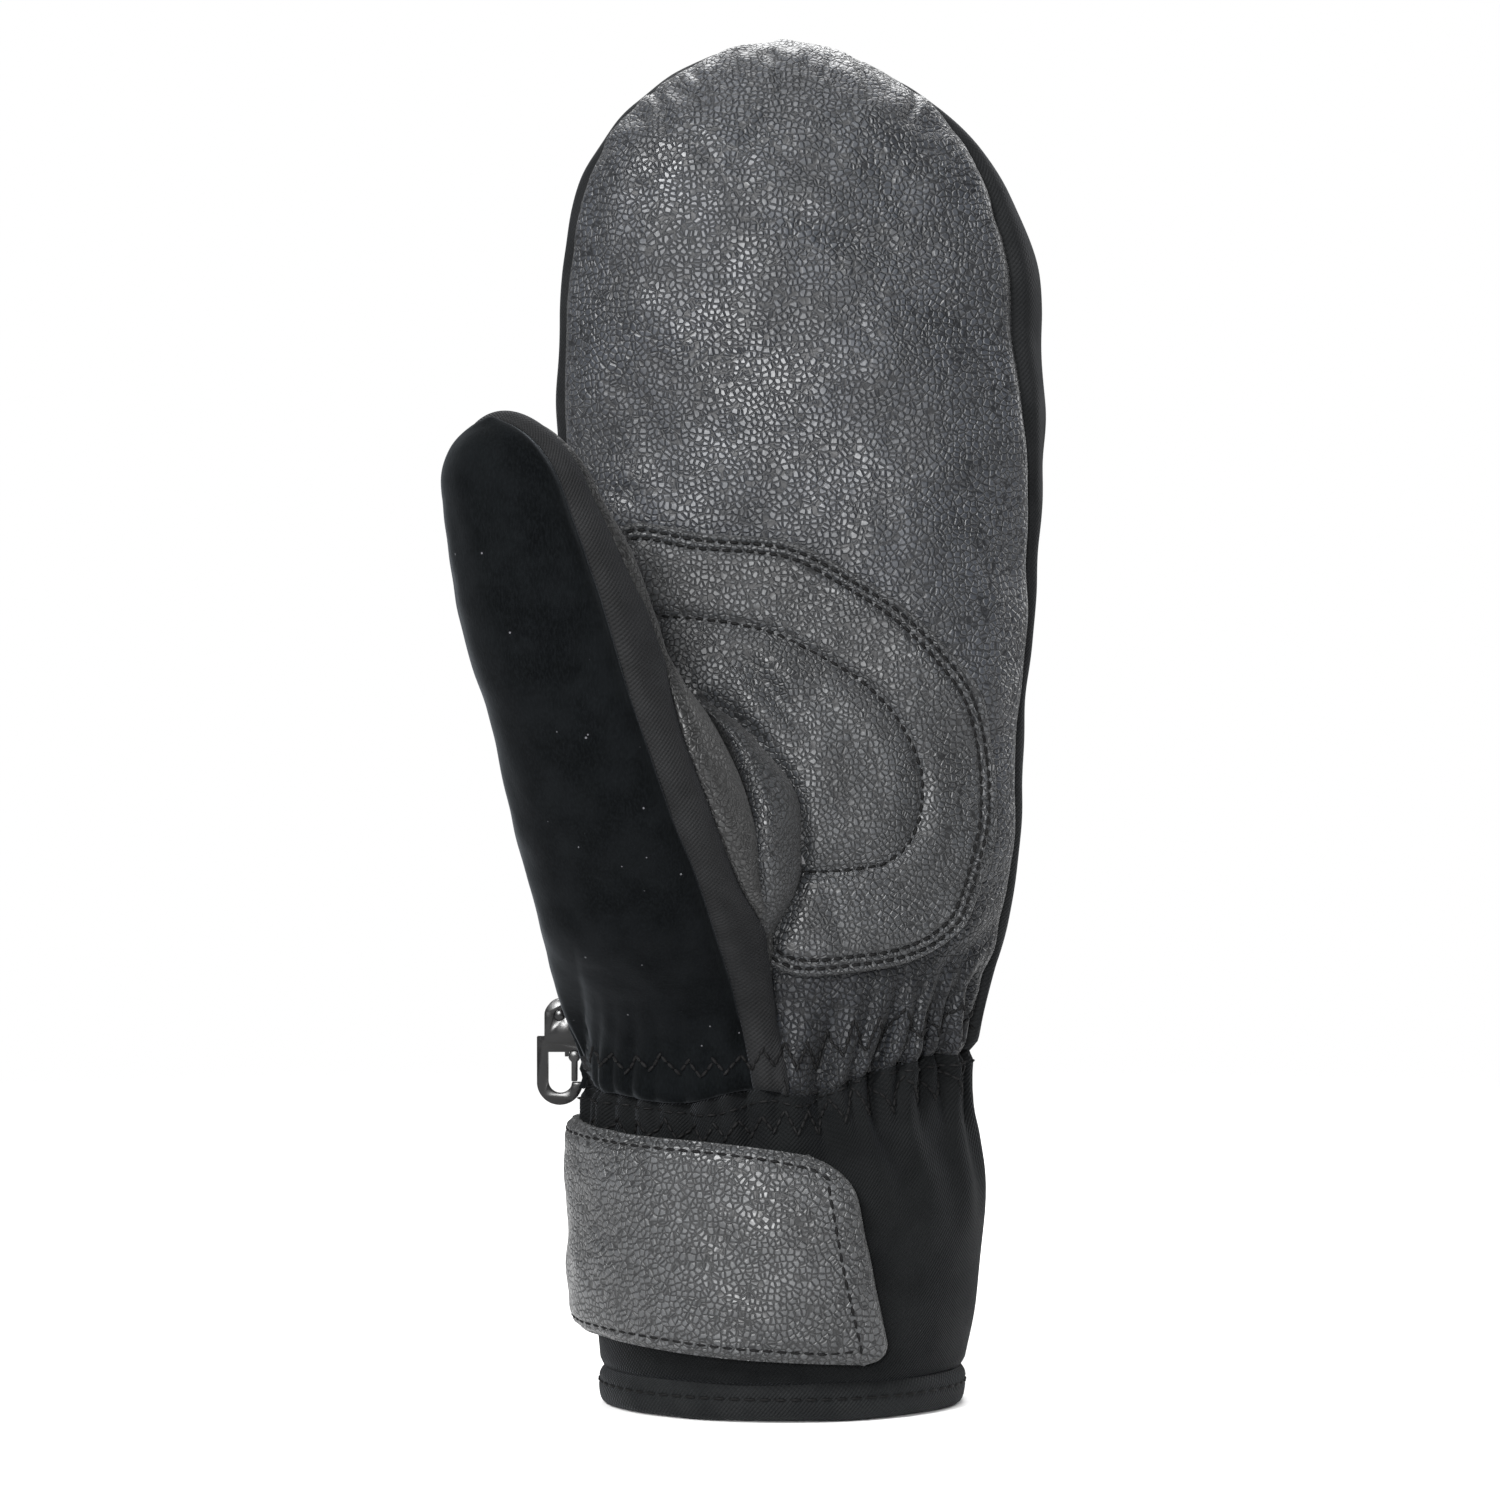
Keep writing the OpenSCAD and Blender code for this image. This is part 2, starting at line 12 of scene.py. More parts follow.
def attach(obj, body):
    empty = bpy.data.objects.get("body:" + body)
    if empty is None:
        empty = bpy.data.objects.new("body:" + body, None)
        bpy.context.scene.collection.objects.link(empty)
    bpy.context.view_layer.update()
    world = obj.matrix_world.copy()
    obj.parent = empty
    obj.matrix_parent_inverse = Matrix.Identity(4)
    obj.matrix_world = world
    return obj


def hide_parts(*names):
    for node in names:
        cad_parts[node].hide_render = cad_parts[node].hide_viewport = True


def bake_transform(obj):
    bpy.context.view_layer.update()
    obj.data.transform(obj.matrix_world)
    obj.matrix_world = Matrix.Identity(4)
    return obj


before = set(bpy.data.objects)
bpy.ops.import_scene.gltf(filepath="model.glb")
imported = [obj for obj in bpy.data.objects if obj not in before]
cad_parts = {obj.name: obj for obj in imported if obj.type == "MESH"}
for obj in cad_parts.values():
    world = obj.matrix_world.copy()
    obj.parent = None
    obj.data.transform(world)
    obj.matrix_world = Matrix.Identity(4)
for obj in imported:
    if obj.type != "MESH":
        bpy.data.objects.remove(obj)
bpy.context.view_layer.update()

bl_info = {
    "name": "Ski Mitten",
    "version": (1, 0, 0),
    "blender": (4, 5, 0),
    "location": "View3D > Sidebar > Mitten",
    "description": "Builds a padded ski mitten piece by piece on its mechanical frame",
    "category": "Object",
}

MM = 0.001
SEED = 7
OUTSIDE = 0.15  # in metres, further from the axis than any surface

# ---- Outline of the hand in millimetres; an angle of 0 faces the palm, 90 the little finger ----

HALF_WIDTH = [
    (0, 36), (8, 36.5), (20, 38.2), (45, 39.6), (60, 38.4), (66, 38), (80, 39.5), (96, 42.3),
    (116, 44), (136, 45.4), (156, 46.6), (176, 48), (216, 48), (271, 48),
]
HALF_DEPTH = [
    (0, 28), (45, 28), (60, 26), (66, 25.5), (80, 24.5), (100, 23.5), (140, 22), (271, 22),
]
CENTRE_X = [(0, 0), (45, 0.5), (66, -0.9), (96, 2.3), (136, 3.4), (216, 3.7), (271, -0.4)]
SQUARENESS = [(0, 1), (66, 1), (110, 0.85), (271, 0.85)]
DOME_START = 216.0
TIP = 271.0
LITTLE_SEAM = [(0, 76), (140, 76), (174, 72), (200, 62), (240, 62), (254, 70), (271, 85)]
INDEX_SEAM = [(0, -62), (120, -62), (150, -76), (216, -78), (271, -80)]
TURN = (-98, 262)  # the angles at which a turn round the cuff starts and ends
CUFF_SEAM = [
    (-98, 63), (-62, 62.4), (-28, 61.5), (-8, 64.2), (14, 63.6), (24, 66.2), (75, 70.2),
    (120, 69), (180, 67.5), (262, 63),
]
SEAM_LEVEL = 66.0  # a height near the cuff seam, where the side seams meet it
CUFF_RADIUS = 39.0  # of a round cuff with the same girth

# ---- Thumb tube: centre x, half width, centre y and half depth against height ----

THUMB = [
    (60, -17.5, 20, -6, 14), (66, -18.5, 20.5, -9, 14.5), (78, -21.7, 21.9, -17, 15.5),
    (91, -24, 22, -24, 16.5), (105, -26.3, 22.7, -30, 17.5), (117, -28.8, 23.1, -35, 18),
    (128, -32, 22.3, -38.5, 17.8), (137, -35.5, 20.7, -41, 17.3), (146, -40.1, 18.8, -43, 16.6),
    (155, -42.7, 18.2, -44, 16.4), (167, -45.9, 17.2, -45, 15.8), (178, -49.7, 14.9, -46, 14.6),
]
THUMB_X, THUMB_A, THUMB_Y, THUMB_B = ([(row[0], row[k]) for row in THUMB] for k in (1, 2, 3, 4))
THUMB_TOP = 178.0
THUMB_AXIS = np.array([-0.19, -0.1, 1.0])
THUMB_CAP = 15.5
SUEDE_LINE = [
    (60, -5.6), (66.8, -6.4), (76, -8), (83, -9.5), (91.4, -11.7), (99.4, -14), (108, -17),
    (114.7, -19.9), (123, -22.8), (129.6, -25), (138, -27.7), (149, -30.8), (158, -33.4),
    (165.5, -35.9), (173, -38.5), (178, -40.2),
]
STRIP_LINE = [
    (60, 2.4), (66.8, 1.7), (73.7, 0.7), (81.5, 0.1), (89.6, -1), (96.6, -3.5), (103, -7.2),
    (112, -10.9), (122, -14.6), (132.6, -18.2), (144, -21.2), (150, -22.7), (160, -26.8),
    (170, -31.4), (178, -35.5),
]
TUCK = 2.2  # how far the hand's shells are pressed in under the thumb's foot
NEAR_SUEDE, FAR_SUEDE, FAR_STRIP = 37.6, -108.0, 219.4  # angles on the thumb's tube
PANEL_TURN, PANEL_REACH = -34.3, 0.28  # heading and half width of the strip over the tip

# ---- Palm patch outline and the padded row inside it, as x and height ----

PATCH_EDGE = [
    (-31.6, 173.5), (-16.1, 172.3), (3.7, 169.8), (14.7, 163.8), (22.1, 159.1), (30.5, 151.3),
    (38.2, 141), (41.0, 131.6), (41.9, 122.2), (41.5, 114.5), (40.2, 108.7), (38.2, 101.9),
    (35.5, 95.7), (30.5, 91.2), (24.1, 88.4), (15.1, 86.9), (-0.8, 87.3), (-7, 92), (-9, 104),
    (-10, 118), (-16, 130), (-24, 140), (-33, 152), (-36.5, 163),
]
PATCH_CENTRE = (5.0, 128.0)
PAD_ROW = [
    (-24.0, 156.2), (-10.6, 154.8), (-2.9, 153.1), (7.5, 148.2), (14.9, 143.7), (20.9, 137.9),
    (25.1, 131.1), (27.1, 124.9), (27.1, 119.8), (25.9, 114.4), (23.2, 110.4), (19.8, 108),
    (15.3, 107), (3.2, 106.3), (-4, 106),
]

# ---- Strap, hem and joints ----

HEM = 7.4
LINING_TOP = 80.0
HEM_STITCHES = 4.6
LINING_DEPTH = [(0, 3.1), (14, 3.2), (44, 4.9), (80, 5.4)]
LABEL_DEPTH = [(0, 3.5), (14, 3.6), (44, 5.3)]
ZIGZAG_STEP = 3.3  # half of one zigzag, round the cuff
EDGE_ROWS = (1.5, 3.1)  # the patch's two stitch rows, inwards from its edge
STRAP_ROW = 2.1
STRAP_START = -160.0
STRAP_HEIGHT = 40.0
STRAP_UNDER = [(-160, 0.4), (-104, 0.4), (-84, 2.3), (60, 2.3)]
KNUCKLE = ("hand", "fingers", (0.0035, -0.004, 0.156), (0.0035, -0.004, 0.208))
THUMB_JOINT = ("hand", "thumb", (-0.0344, -0.0402, 0.1279), (-0.0432, -0.045, 0.1581))
STRAP_JOINT = ("hand", "strap", (-0.0415, 0.009, 0.036), (-0.0415, -0.005, 0.036))


# ================ Numbers and surfaces ================


def along(value, table):
    """A smooth curve through a table, read at value and held level past both ends."""
    x, y = np.array(table, float).T
    slope = np.gradient(y, x)
    v = np.clip(value, x[0], x[-1])
    i = np.clip(np.searchsorted(x, v) - 1, 0, len(x) - 2)
    h = x[i + 1] - x[i]
    t = (v - x[i]) / h
    return (
        (1 + 2 * t) * (1 - t) ** 2 * y[i]
        + t * (1 - t) ** 2 * h * slope[i]
        + t * t * (3 - 2 * t) * y[i + 1]
        + t * t * (t - 1) * h * slope[i + 1]
    )


def smooth(value):
    t = np.clip(value, 0, 1)
    return t * t * (3 - 2 * t)


def mixed(a, b, share):
    return a + (b - a) * share


def down(start, end, count):
    return np.linspace(start, end, count)[:, None]


def across(start, end, count):
    return np.linspace(start, end, count)[None, :]


def whole_turn(angle):
    """The same angles, brought within one turn round the cuff."""
    return (np.asarray(angle) - TURN[0]) % 360 + TURN[0]


def power(value, exponent):
    return np.sign(value) * np.abs(value) ** exponent


def bump(value, width):
    return np.exp(-((value / width) ** 2))


def hand_surface(z, angle, depth=0.0):
    """Points of the hand's outline; z runs on over the rounded tip up to TIP."""
    rise = np.clip((z - DOME_START) / (TIP - DOME_START), 0, 1)
    shrink = np.sqrt(1 - rise**2)
    height = np.where(z <= DOME_START, z, DOME_START + (TIP - DOME_START - depth) * rise)
    p = along(z, SQUARENESS)
    turn = np.radians(angle)
    x = along(z, CENTRE_X) + (along(z, HALF_WIDTH) - depth) * shrink * power(np.sin(turn), p)
    y = -(along(z, HALF_DEPTH) - depth) * shrink * power(np.cos(turn), p)
    return np.stack(np.broadcast_arrays(x, y, height), axis=-1)


def palm_angle(z, x):
    s = np.clip((x - along(z, CENTRE_X)) / along(z, HALF_WIDTH), -1, 1)
    return np.degrees(np.arcsin(power(s, 1 / along(z, SQUARENESS))))


def cuff_seam(angle):
    """Height of the wavy seam between the hand and the cuff."""
    return along(whole_turn(angle), CUFF_SEAM)


def thumb_seam(z, line):
    """Angle on the thumb's tube at which a seam with that x runs."""
    s = np.clip((along(z, line) - along(z, THUMB_X)) / along(z, THUMB_A), -0.985, 0.985)
    return np.degrees(np.arcsin(s))


def thumb_surface(z, angle, inset=0.0):
    """Points of the thumb's tube. Towards the wrist its front is laid on the hand."""
    turn = np.radians(angle)
    x = along(z, THUMB_X) + (along(z, THUMB_A) - inset) * np.sin(turn)
    y = along(z, THUMB_Y) - (along(z, THUMB_B) - inset) * np.cos(turn)
    front = smooth((np.cos(turn) + 0.1) / 0.35)
    on_hand = hand_surface(z, palm_angle(z, x))[..., 1] + mixed(3.0, -0.6, front) + inset
    y = mixed(on_hand, y, smooth((z - 64) / 32))
    return np.stack(np.broadcast_arrays(x, y, z), axis=-1)


def thumb_cap(direction, inset=0.0):
    """Points of the thumb's rounded end for unit directions whose z is at least 0."""
    lift = direction[..., 2:3]
    wide = np.array([THUMB_A[-1][1] - inset, THUMB_B[-1][1] - inset, 0.0])
    centre = np.array([THUMB_X[-1][1], THUMB_Y[-1][1], THUMB_TOP])
    return centre + direction * wide * (1 - 0.14 * lift) + THUMB_AXIS * (THUMB_CAP - inset) * lift


def normals(points):
    n = np.cross(np.gradient(points, axis=1), np.gradient(points, axis=0))
    size = np.linalg.norm(n, axis=-1, keepdims=True)
    n = n / np.maximum(size, 1e-9)
    for row, inner in ((0, 1), (-1, -2)):
        if size[row].max() < 1e-6:
            n[row] = n[inner].mean(axis=0)
    return n


def raised(points, height):
    return points + normals(points) * height[..., None]


def tucked(points, lift):
    """Heights with the shell pressed in wherever the foot of the thumb lies over it."""
    z = points[..., 2]
    u = np.abs(points[..., 0] - along(z, THUMB_X)) / along(z, THUMB_A)
    under = smooth((0.97 - u) / 0.06) * (points[..., 1] < 0) * smooth((112 - z) / 10)
    return mixed(lift, -TUCK, under)


def edge_distances(points):
    """Distance along each row from its first and from its last point."""
    step = np.linalg.norm(np.diff(points, axis=1), axis=-1)
    run = np.concatenate([np.zeros((len(points), 1)), np.cumsum(step, axis=1)], axis=1)
    return run, run[:, -1:] - run


def ripple(points, size, seed):
    """Smooth lumps of about unit height and about that size across, in millimetres."""
    draw = np.random.default_rng(SEED + seed)
    total = np.zeros(points.shape[:-1])
    for _ in range(18):
        way = draw.normal(size=3)
        way *= 2 * math.pi / (size * draw.uniform(0.8, 1.6) * np.linalg.norm(way))
        total += np.cos(points @ way + draw.uniform(0, 2 * math.pi))
    return total / 3


def crease(x, z, start, end, depth, width):
    """A fold line: a groove between two low swells, fading out at both ends."""
    (ax, az), (bx, bz) = start, end
    length = math.hypot(bx - ax, bz - az)
    ux, uz = (bx - ax) / length, (bz - az) / length
    t = ((x - ax) * ux + (z - az) * uz) / length
    off = (x - ax) * uz - (z - az) * ux + 0.06 * length * np.sin(5 * t)
    fade = np.clip(4 * t * (1 - t), 0, 1)
    return depth * fade * (0.5 * bump(np.abs(off) - 2.2 * width, 1.3 * width) - bump(off, width))


def run_along(points):
    """How far along a polyline each of its points lies."""
    return np.concatenate([[0], np.cumsum(np.linalg.norm(np.diff(points, axis=0), axis=1))])


def creased(points, creases):
    """The heights that a list of fold lines adds together."""
    return sum(crease(points[..., 0], points[..., 2], *each) for each in creases)


def smooth_line(corners, count, closed=False):
    """Evenly spaced points on a smooth curve through the corners."""
    p = np.array(corners, float)
    if closed:
        p = np.concatenate([p[-3:], p, p[:3]])
    run = run_along(p)
    start, end = (run[3], run[len(corners) + 3]) if closed else (0, run[-1])
    at = np.linspace(start, end, count, endpoint=not closed)
    return np.stack([along(at, np.stack([run, p[:, k]], 1)) for k in range(p.shape[1])], 1)


def line_distance(x, z, line, closed=False):
    """Distance in the x-z plane to a polyline."""
    a = np.array(line, float)
    b = np.roll(a, -1, axis=0) if closed else a[1:]
    a = a if closed else a[:-1]
    best = np.full(np.shape(x), 1e9)
    for (ax, az), (bx, bz) in zip(a, b):
        dx, dz = bx - ax, bz - az
        t = np.clip(((x - ax) * dx + (z - az) * dz) / (dx * dx + dz * dz + 1e-12), 0, 1)
        best = np.minimum(best, np.hypot(x - ax - t * dx, z - az - t * dz))
    return best


def seam_roll(distance):
    """Height beside a turned-in seam: down into the seam, then a low roll."""
    return 0.35 * bump(distance - 3.4, 2.4) - 1.25 * bump(distance, 1.35)


def puckers(points, angle, z):
    """Gathers that the wrist elastic pulls into the shell, above and below the cuff seam."""
    seam = cuff_seam(angle)
    up = z - seam
    run = CUFF_RADIUS * np.radians(whole_turn(angle)) + 1.2 * ripple(points, 24, 3)
    fine = np.abs(np.sin(math.pi * run / 6.7)) - 0.62
    broad = np.sin(2 * math.pi * (run + 1.5 * ripple(points, 40, 4)) / 14.5 + 0.8)
    side = 0.55 + 0.45 * smooth((np.cos(np.radians(angle - 62)) - 0.1) / 0.8)
    reach = np.where(up > 0, 24.0, 17.0)
    fade = smooth(1 - np.abs(up) / reach)
    long_fade = np.where(up > 0, smooth(1 - up / 22), smooth(1 + up / 40))
    return side * (3.6 * fine * fade + 1.3 * broad * long_fade) - 0.5 * fade


# ================ Meshes ================

finishes = {}


def lay_grid(name, points, closed=False, thickness=0.0):
    """A sheet over a grid of points in millimetres, with its own flat map in metres."""
    rows, columns = points.shape[:2]
    shape = bmesh.new()
    bmesh.ops.create_grid(shape, x_segments=columns - 1, y_segments=rows - 1, size=1.0)
    mesh = bpy.data.meshes.new(name)
    shape.to_mesh(mesh)
    flat = np.empty(len(mesh.vertices) * 3)
    mesh.vertices.foreach_get("co", flat)
    flat = flat.reshape(-1, 3)
    i = np.rint((flat[:, 0] + 1) / 2 * (columns - 1)).astype(int)
    j = np.rint((flat[:, 1] + 1) / 2 * (rows - 1)).astype(int)
    mesh.vertices.foreach_set("co", (points[j, i] * MM).ravel())
    wide = run_along(points[rows // 2])
    high = run_along(points[:, columns // 2])
    corner = np.empty(len(mesh.loops), int)
    mesh.loops.foreach_get("vertex_index", corner)
    layer = mesh.uv_layers.new(name="flat")
    layer.data.foreach_set(
        "uv", (np.stack([wide[i[corner]], high[j[corner]]], 1) * MM).ravel()
    )
    shape.clear()
    shape.from_mesh(mesh)
    bmesh.ops.remove_doubles(shape, verts=shape.verts[:], dist=2e-6)
    if closed:
        bmesh.ops.recalc_face_normals(shape, faces=shape.faces[:])
    shape.to_mesh(mesh)
    shape.free()
    return placed(name, mesh, thickness)


def placed(name, mesh, thickness=0.0):
    piece = bpy.data.objects.new(name, mesh)
    bpy.context.scene.collection.objects.link(piece)
    if thickness:
        wall = piece.modifiers.new("thickness", "SOLIDIFY")
        wall.thickness = thickness * MM
        wall.offset = -1
        wall.use_even_offset = False
        graph = bpy.context.evaluated_depsgraph_get()
        done = bpy.data.meshes.new_from_object(piece.evaluated_get(graph))
        piece.modifiers.clear()
        piece.data = done
        done.name = name
    piece.data.shade_smooth()
    return piece


def dressed(piece, finish, joint=None, stands_for=(), body="hand"):
    """Finish for a piece, and its body, or baked in place when a joint is given; hides the CAD
    nodes that it stands for.
    """
    piece.data.materials.clear()
    piece.data.materials.append(finishes[finish])
    if joint:
        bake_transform(piece)
    else:
        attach(piece, body)
    if stands_for:
        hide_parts(*stands_for)
    return piece


def tree_of(*pieces):
    shape = bmesh.new()
    for piece in pieces:
        shape.from_mesh(piece.data)
    tree = BVHTree.FromBMesh(shape)
    shape.free()
    return tree


def dropped(tree, starts, directions, reach=0.2):
    """Where rays meet the surface, with the surface's outward normal there."""
    found = []
    for start, direction in zip(starts, directions):
        way = Vector(direction).normalized()
        point, normal, _, _ = tree.ray_cast(Vector(start), way, reach)
        if point is not None:
            found.append((point, normal if normal.dot(way) < 0 else -normal))
    return found


def from_front(tree, line):
    """Points of an x-z line in millimetres dropped on a surface from the palm side."""
    starts = [(x * MM, -OUTSIDE, z * MM) for x, z in line]
    return dropped(tree, starts, [(0, 1, 0)] * len(starts))


def from_around(tree, angles, heights):
    """Points at angles and heights dropped on the surface from outside."""
    turn = np.radians(angles)
    ways = np.stack([np.sin(turn), -np.cos(turn), np.zeros(len(turn))], 1)
    starts = ways * OUTSIDE + np.stack([0 * turn, 0 * turn, np.asarray(heights) * MM], 1)
    return dropped(tree, starts, -ways)


def stitches(name, rows, joint=None, pitch=2.3, length=1.75, radius=0.36, lift=0.1):
    """Thread stitches laid end to end along rows of surface points; corners are kept."""
    across_ball = Matrix.Rotation(math.pi / 2, 4, "Y")
    shape = bmesh.new()
    for row in rows:
        spots = [p for p, _ in row]
        run = [0.0]
        for a, b in zip(spots, spots[1:]):
            run.append(run[-1] + (b - a).length)
        count = max(1, int(run[-1] / (pitch * MM)))
        share = run[-1] / count
        at = 0
        for k in range(count):
            middle = (k + 0.5) * share
            while at < len(run) - 2 and run[at + 1] < middle:
                at += 1
            t = (middle - run[at]) / max(run[at + 1] - run[at], 1e-9)
            point = spots[at].lerp(spots[at + 1], t)
            way = (spots[at + 1] - spots[at]).normalized()
            up = row[at][1]
            side = up.cross(way).normalized()
            up = way.cross(side)
            turn = Matrix((way, side, up)).transposed().to_4x4()
            size = Matrix.Diagonal((length / 2, radius, radius, 1 / MM)) * MM
            lifted = Matrix.Translation(point + up * lift * MM)
            bmesh.ops.create_uvsphere(
                shape, u_segments=6, v_segments=5, radius=1.0,
                matrix=lifted @ turn @ size @ across_ball,
            )
    mesh = bpy.data.meshes.new(name)
    shape.to_mesh(mesh)
    shape.free()
    dressed(placed(name, mesh), "thread", joint)


# ================ Finishes ================


def opaque(colour):
    return (*colour, 1) if isinstance(colour, tuple) else colour


def scaled(colour, share):
    return tuple(c * share for c in colour)


class Finish:
    """A node material that reads object coordinates or a piece's own flat map."""

    def __init__(self, name, roughness, specular=0.5, flat=False):
        self.material = bpy.data.materials.new(name)
        self.material.use_nodes = True
        self.tree = self.material.node_tree
        self.shader = self.tree.nodes["Principled BSDF"]
        self.shader.inputs["Roughness"].default_value = roughness
        self.shader.inputs["Specular IOR Level"].default_value = specular
        self.place = self.tree.nodes.new("ShaderNodeTexCoord").outputs["UV" if flat else "Object"]
        self.normal = None

    def node(self, kind, settings=None, **inputs):
        node = self.tree.nodes.new(kind)
        for key, value in (settings or {}).items():
            setattr(node, key, value)
        for key, value in inputs.items():
            self.feed(node.inputs[key.replace("_", " ")], value)
        return node

    def feed(self, socket, value):
        if isinstance(value, bpy.types.NodeSocket):
            self.tree.links.new(value, socket)
        else:
            socket.default_value = value

    def noise(self, size, detail=2.0, place=None):
        place = place or self.place
        node = self.node("ShaderNodeTexNoise", Vector=place, Scale=1 / (size * MM), Detail=detail)
        return node.outputs["Fac"]

    def stretched(self, scale, turn=(0, 0, 0)):
        node = self.node("ShaderNodeMapping", Vector=self.place, Scale=scale, Rotation=turn)
        return node.outputs["Vector"]

    def maths(self, operation, a, b=0.0, c=0.0):
        node = self.node("ShaderNodeMath", {"operation": operation})
        for socket, value in zip(node.inputs, (a, b, c)):
            self.feed(socket, value)
        return node.outputs[0]

    def wave(self, value, size):
        return self.maths("SINE", self.maths("MULTIPLY", value, 2 * math.pi / (size * MM)))

    def spread(self, value, low, high, out_low=0.0, out_high=1.0):
        node = self.node("ShaderNodeMapRange", {"interpolation_type": "SMOOTHSTEP"}, Value=value)
        for key, number in zip(
            ("From Min", "From Max", "To Min", "To Max"), (low, high, out_low, out_high)
        ):
            node.inputs[key].default_value = number
        return node.outputs["Result"]

    def colours(self, value, low, high):
        node = self.node("ShaderNodeMix", {"data_type": "RGBA"})
        self.feed(node.inputs["Factor"], value)
        for socket, colour in ((node.inputs[6], low), (node.inputs[7], high)):
            self.feed(socket, opaque(colour))
        return node.outputs[2]

    def bumps(self, height, depth, strength=1.0):
        node = self.node("ShaderNodeBump", Height=height, Distance=depth * MM, Strength=strength)
        if self.normal:
            self.feed(node.inputs["Normal"], self.normal)
        self.normal = node.outputs["Normal"]

    def done(self, colour, roughness=None):
        self.feed(self.shader.inputs["Base Color"], opaque(colour))
        if roughness is not None:
            self.feed(self.shader.inputs["Roughness"], roughness)
        if self.normal:
            self.feed(self.shader.inputs["Normal"], self.normal)
        return self.material

    def set(self, **values):
        for key, value in values.items():
            self.shader.inputs[key.replace("_", " ")].default_value = value


WRIST_SHADE_HEIGHTS = (0.086, 0.12)  # in metres; painted shade darkens the leather below the first and fades out by the second


def leather(name, dark, light, cell=1.2, depth=0.11, gloss=0.49, wrist_shade=1.0):
    """Pebbled leather: rounded cells with painted shade in their grooves, fine pores, and slow
    changes of tone and shine.

    The last argument is the share of tone and specular that painted shade leaves at the wrist,
    where it darkens the leather below a height to stand in for the shade among the gathers.
    """
    f = Finish(name, gloss, 0.5)
    warp = f.node("ShaderNodeTexNoise", Vector=f.place, Scale=1 / (2.2 * MM), Detail=2.0)
    bent = f.node("ShaderNodeVectorMath", {"operation": "MULTIPLY_ADD"})
    for socket, value in zip(bent.inputs, (warp.outputs["Color"], (0.45 * MM,) * 3, f.place)):
        f.feed(socket, value)
    cells = f.node(
        "ShaderNodeTexVoronoi", {"feature": "DISTANCE_TO_EDGE"},
        Vector=bent.outputs[0], Scale=1 / (cell * MM), Randomness=0.9,
    ).outputs["Distance"]
    pebble = f.spread(cells, 0.0, 0.24)
    area = f.spread(f.noise(17, 2), 0.32, 0.68)
    f.bumps(f.noise(13, 2), 1.2, 0.7)
    f.bumps(f.noise(4.5, 3), 0.5, 0.6)
    f.bumps(pebble, 1.5 * depth)
    f.bumps(f.noise(0.5, 1), 0.01, 0.5)
    tone = f.colours(f.spread(f.noise(9, 4), 0.3, 0.7), dark, light)
    # Painted shade: the grooves between the cells are darker in colour and lower in specular.
    shaded_tone = f.colours(pebble, scaled(dark, 0.35), tone)
    shine = f.maths("MULTIPLY_ADD", pebble, 0.2, 0.34)
    # Painted shade: colour and specular darker towards the wrist, by height alone, for the gathers'
    # shade.
    if wrist_shade < 1:
        height = f.node("ShaderNodeSeparateXYZ", Vector=f.place).outputs["Z"]
        wrist_shading = f.spread(height, *WRIST_SHADE_HEIGHTS, wrist_shade, 1.0)
        shaded_tone = f.colours(wrist_shading, (0.0, 0.0, 0.0), shaded_tone)
        shine = f.maths("MULTIPLY", shine, wrist_shading)
    f.feed(f.shader.inputs["Specular IOR Level"], shine)
    rough = f.maths("MULTIPLY_ADD", area, 0.12, gloss - 0.07)
    rough = f.maths("MULTIPLY_ADD", pebble, -0.05, rough)
    f.set(Sheen_Weight=0.06, Sheen_Roughness=0.5)
    return f.done(shaded_tone, rough)


def woven(name, dark, light, size, depth):
    """Tight woven stretch cloth with fine slanting ribs, fuzz and slow changes of tone."""
    gloss = 0.75
    f = Finish(name, gloss, 0.08, flat=True)
    split = f.node("ShaderNodeSeparateXYZ", Vector=f.stretched((1, 1, 1), (0, 0, math.radians(38))))
    wobble = f.maths("MULTIPLY", f.noise(3.0, 2), 0.5 * size * MM)
    line = f.maths("ADD", split.outputs["X"], wobble)
    ribs = f.wave(line, size)
    cross = f.wave(split.outputs["Y"], 1.4 * size)
    weave = f.maths("ADD", ribs, f.maths("MULTIPLY", cross, 0.5))
    f.bumps(f.noise(4.5, 3), 0.3, 0.5)
    f.bumps(weave, depth, 0.7)
    f.bumps(f.noise(0.3, 2), 0.03, 0.5)
    tone = f.colours(f.spread(f.noise(8, 4), 0.3, 0.7), dark, light)
    cloth = f.colours(f.spread(weave, -1.2, 1.2, 0.0, 0.5), tone, scaled(dark, 0.6))
    f.set(Sheen_Weight=0.03, Sheen_Roughness=0.45, Sheen_Tint=(0.8, 0.85, 0.95, 1))
    return f.done(cloth, f.spread(f.noise(11, 2), 0.3, 0.7, gloss - 0.04, gloss + 0.08))


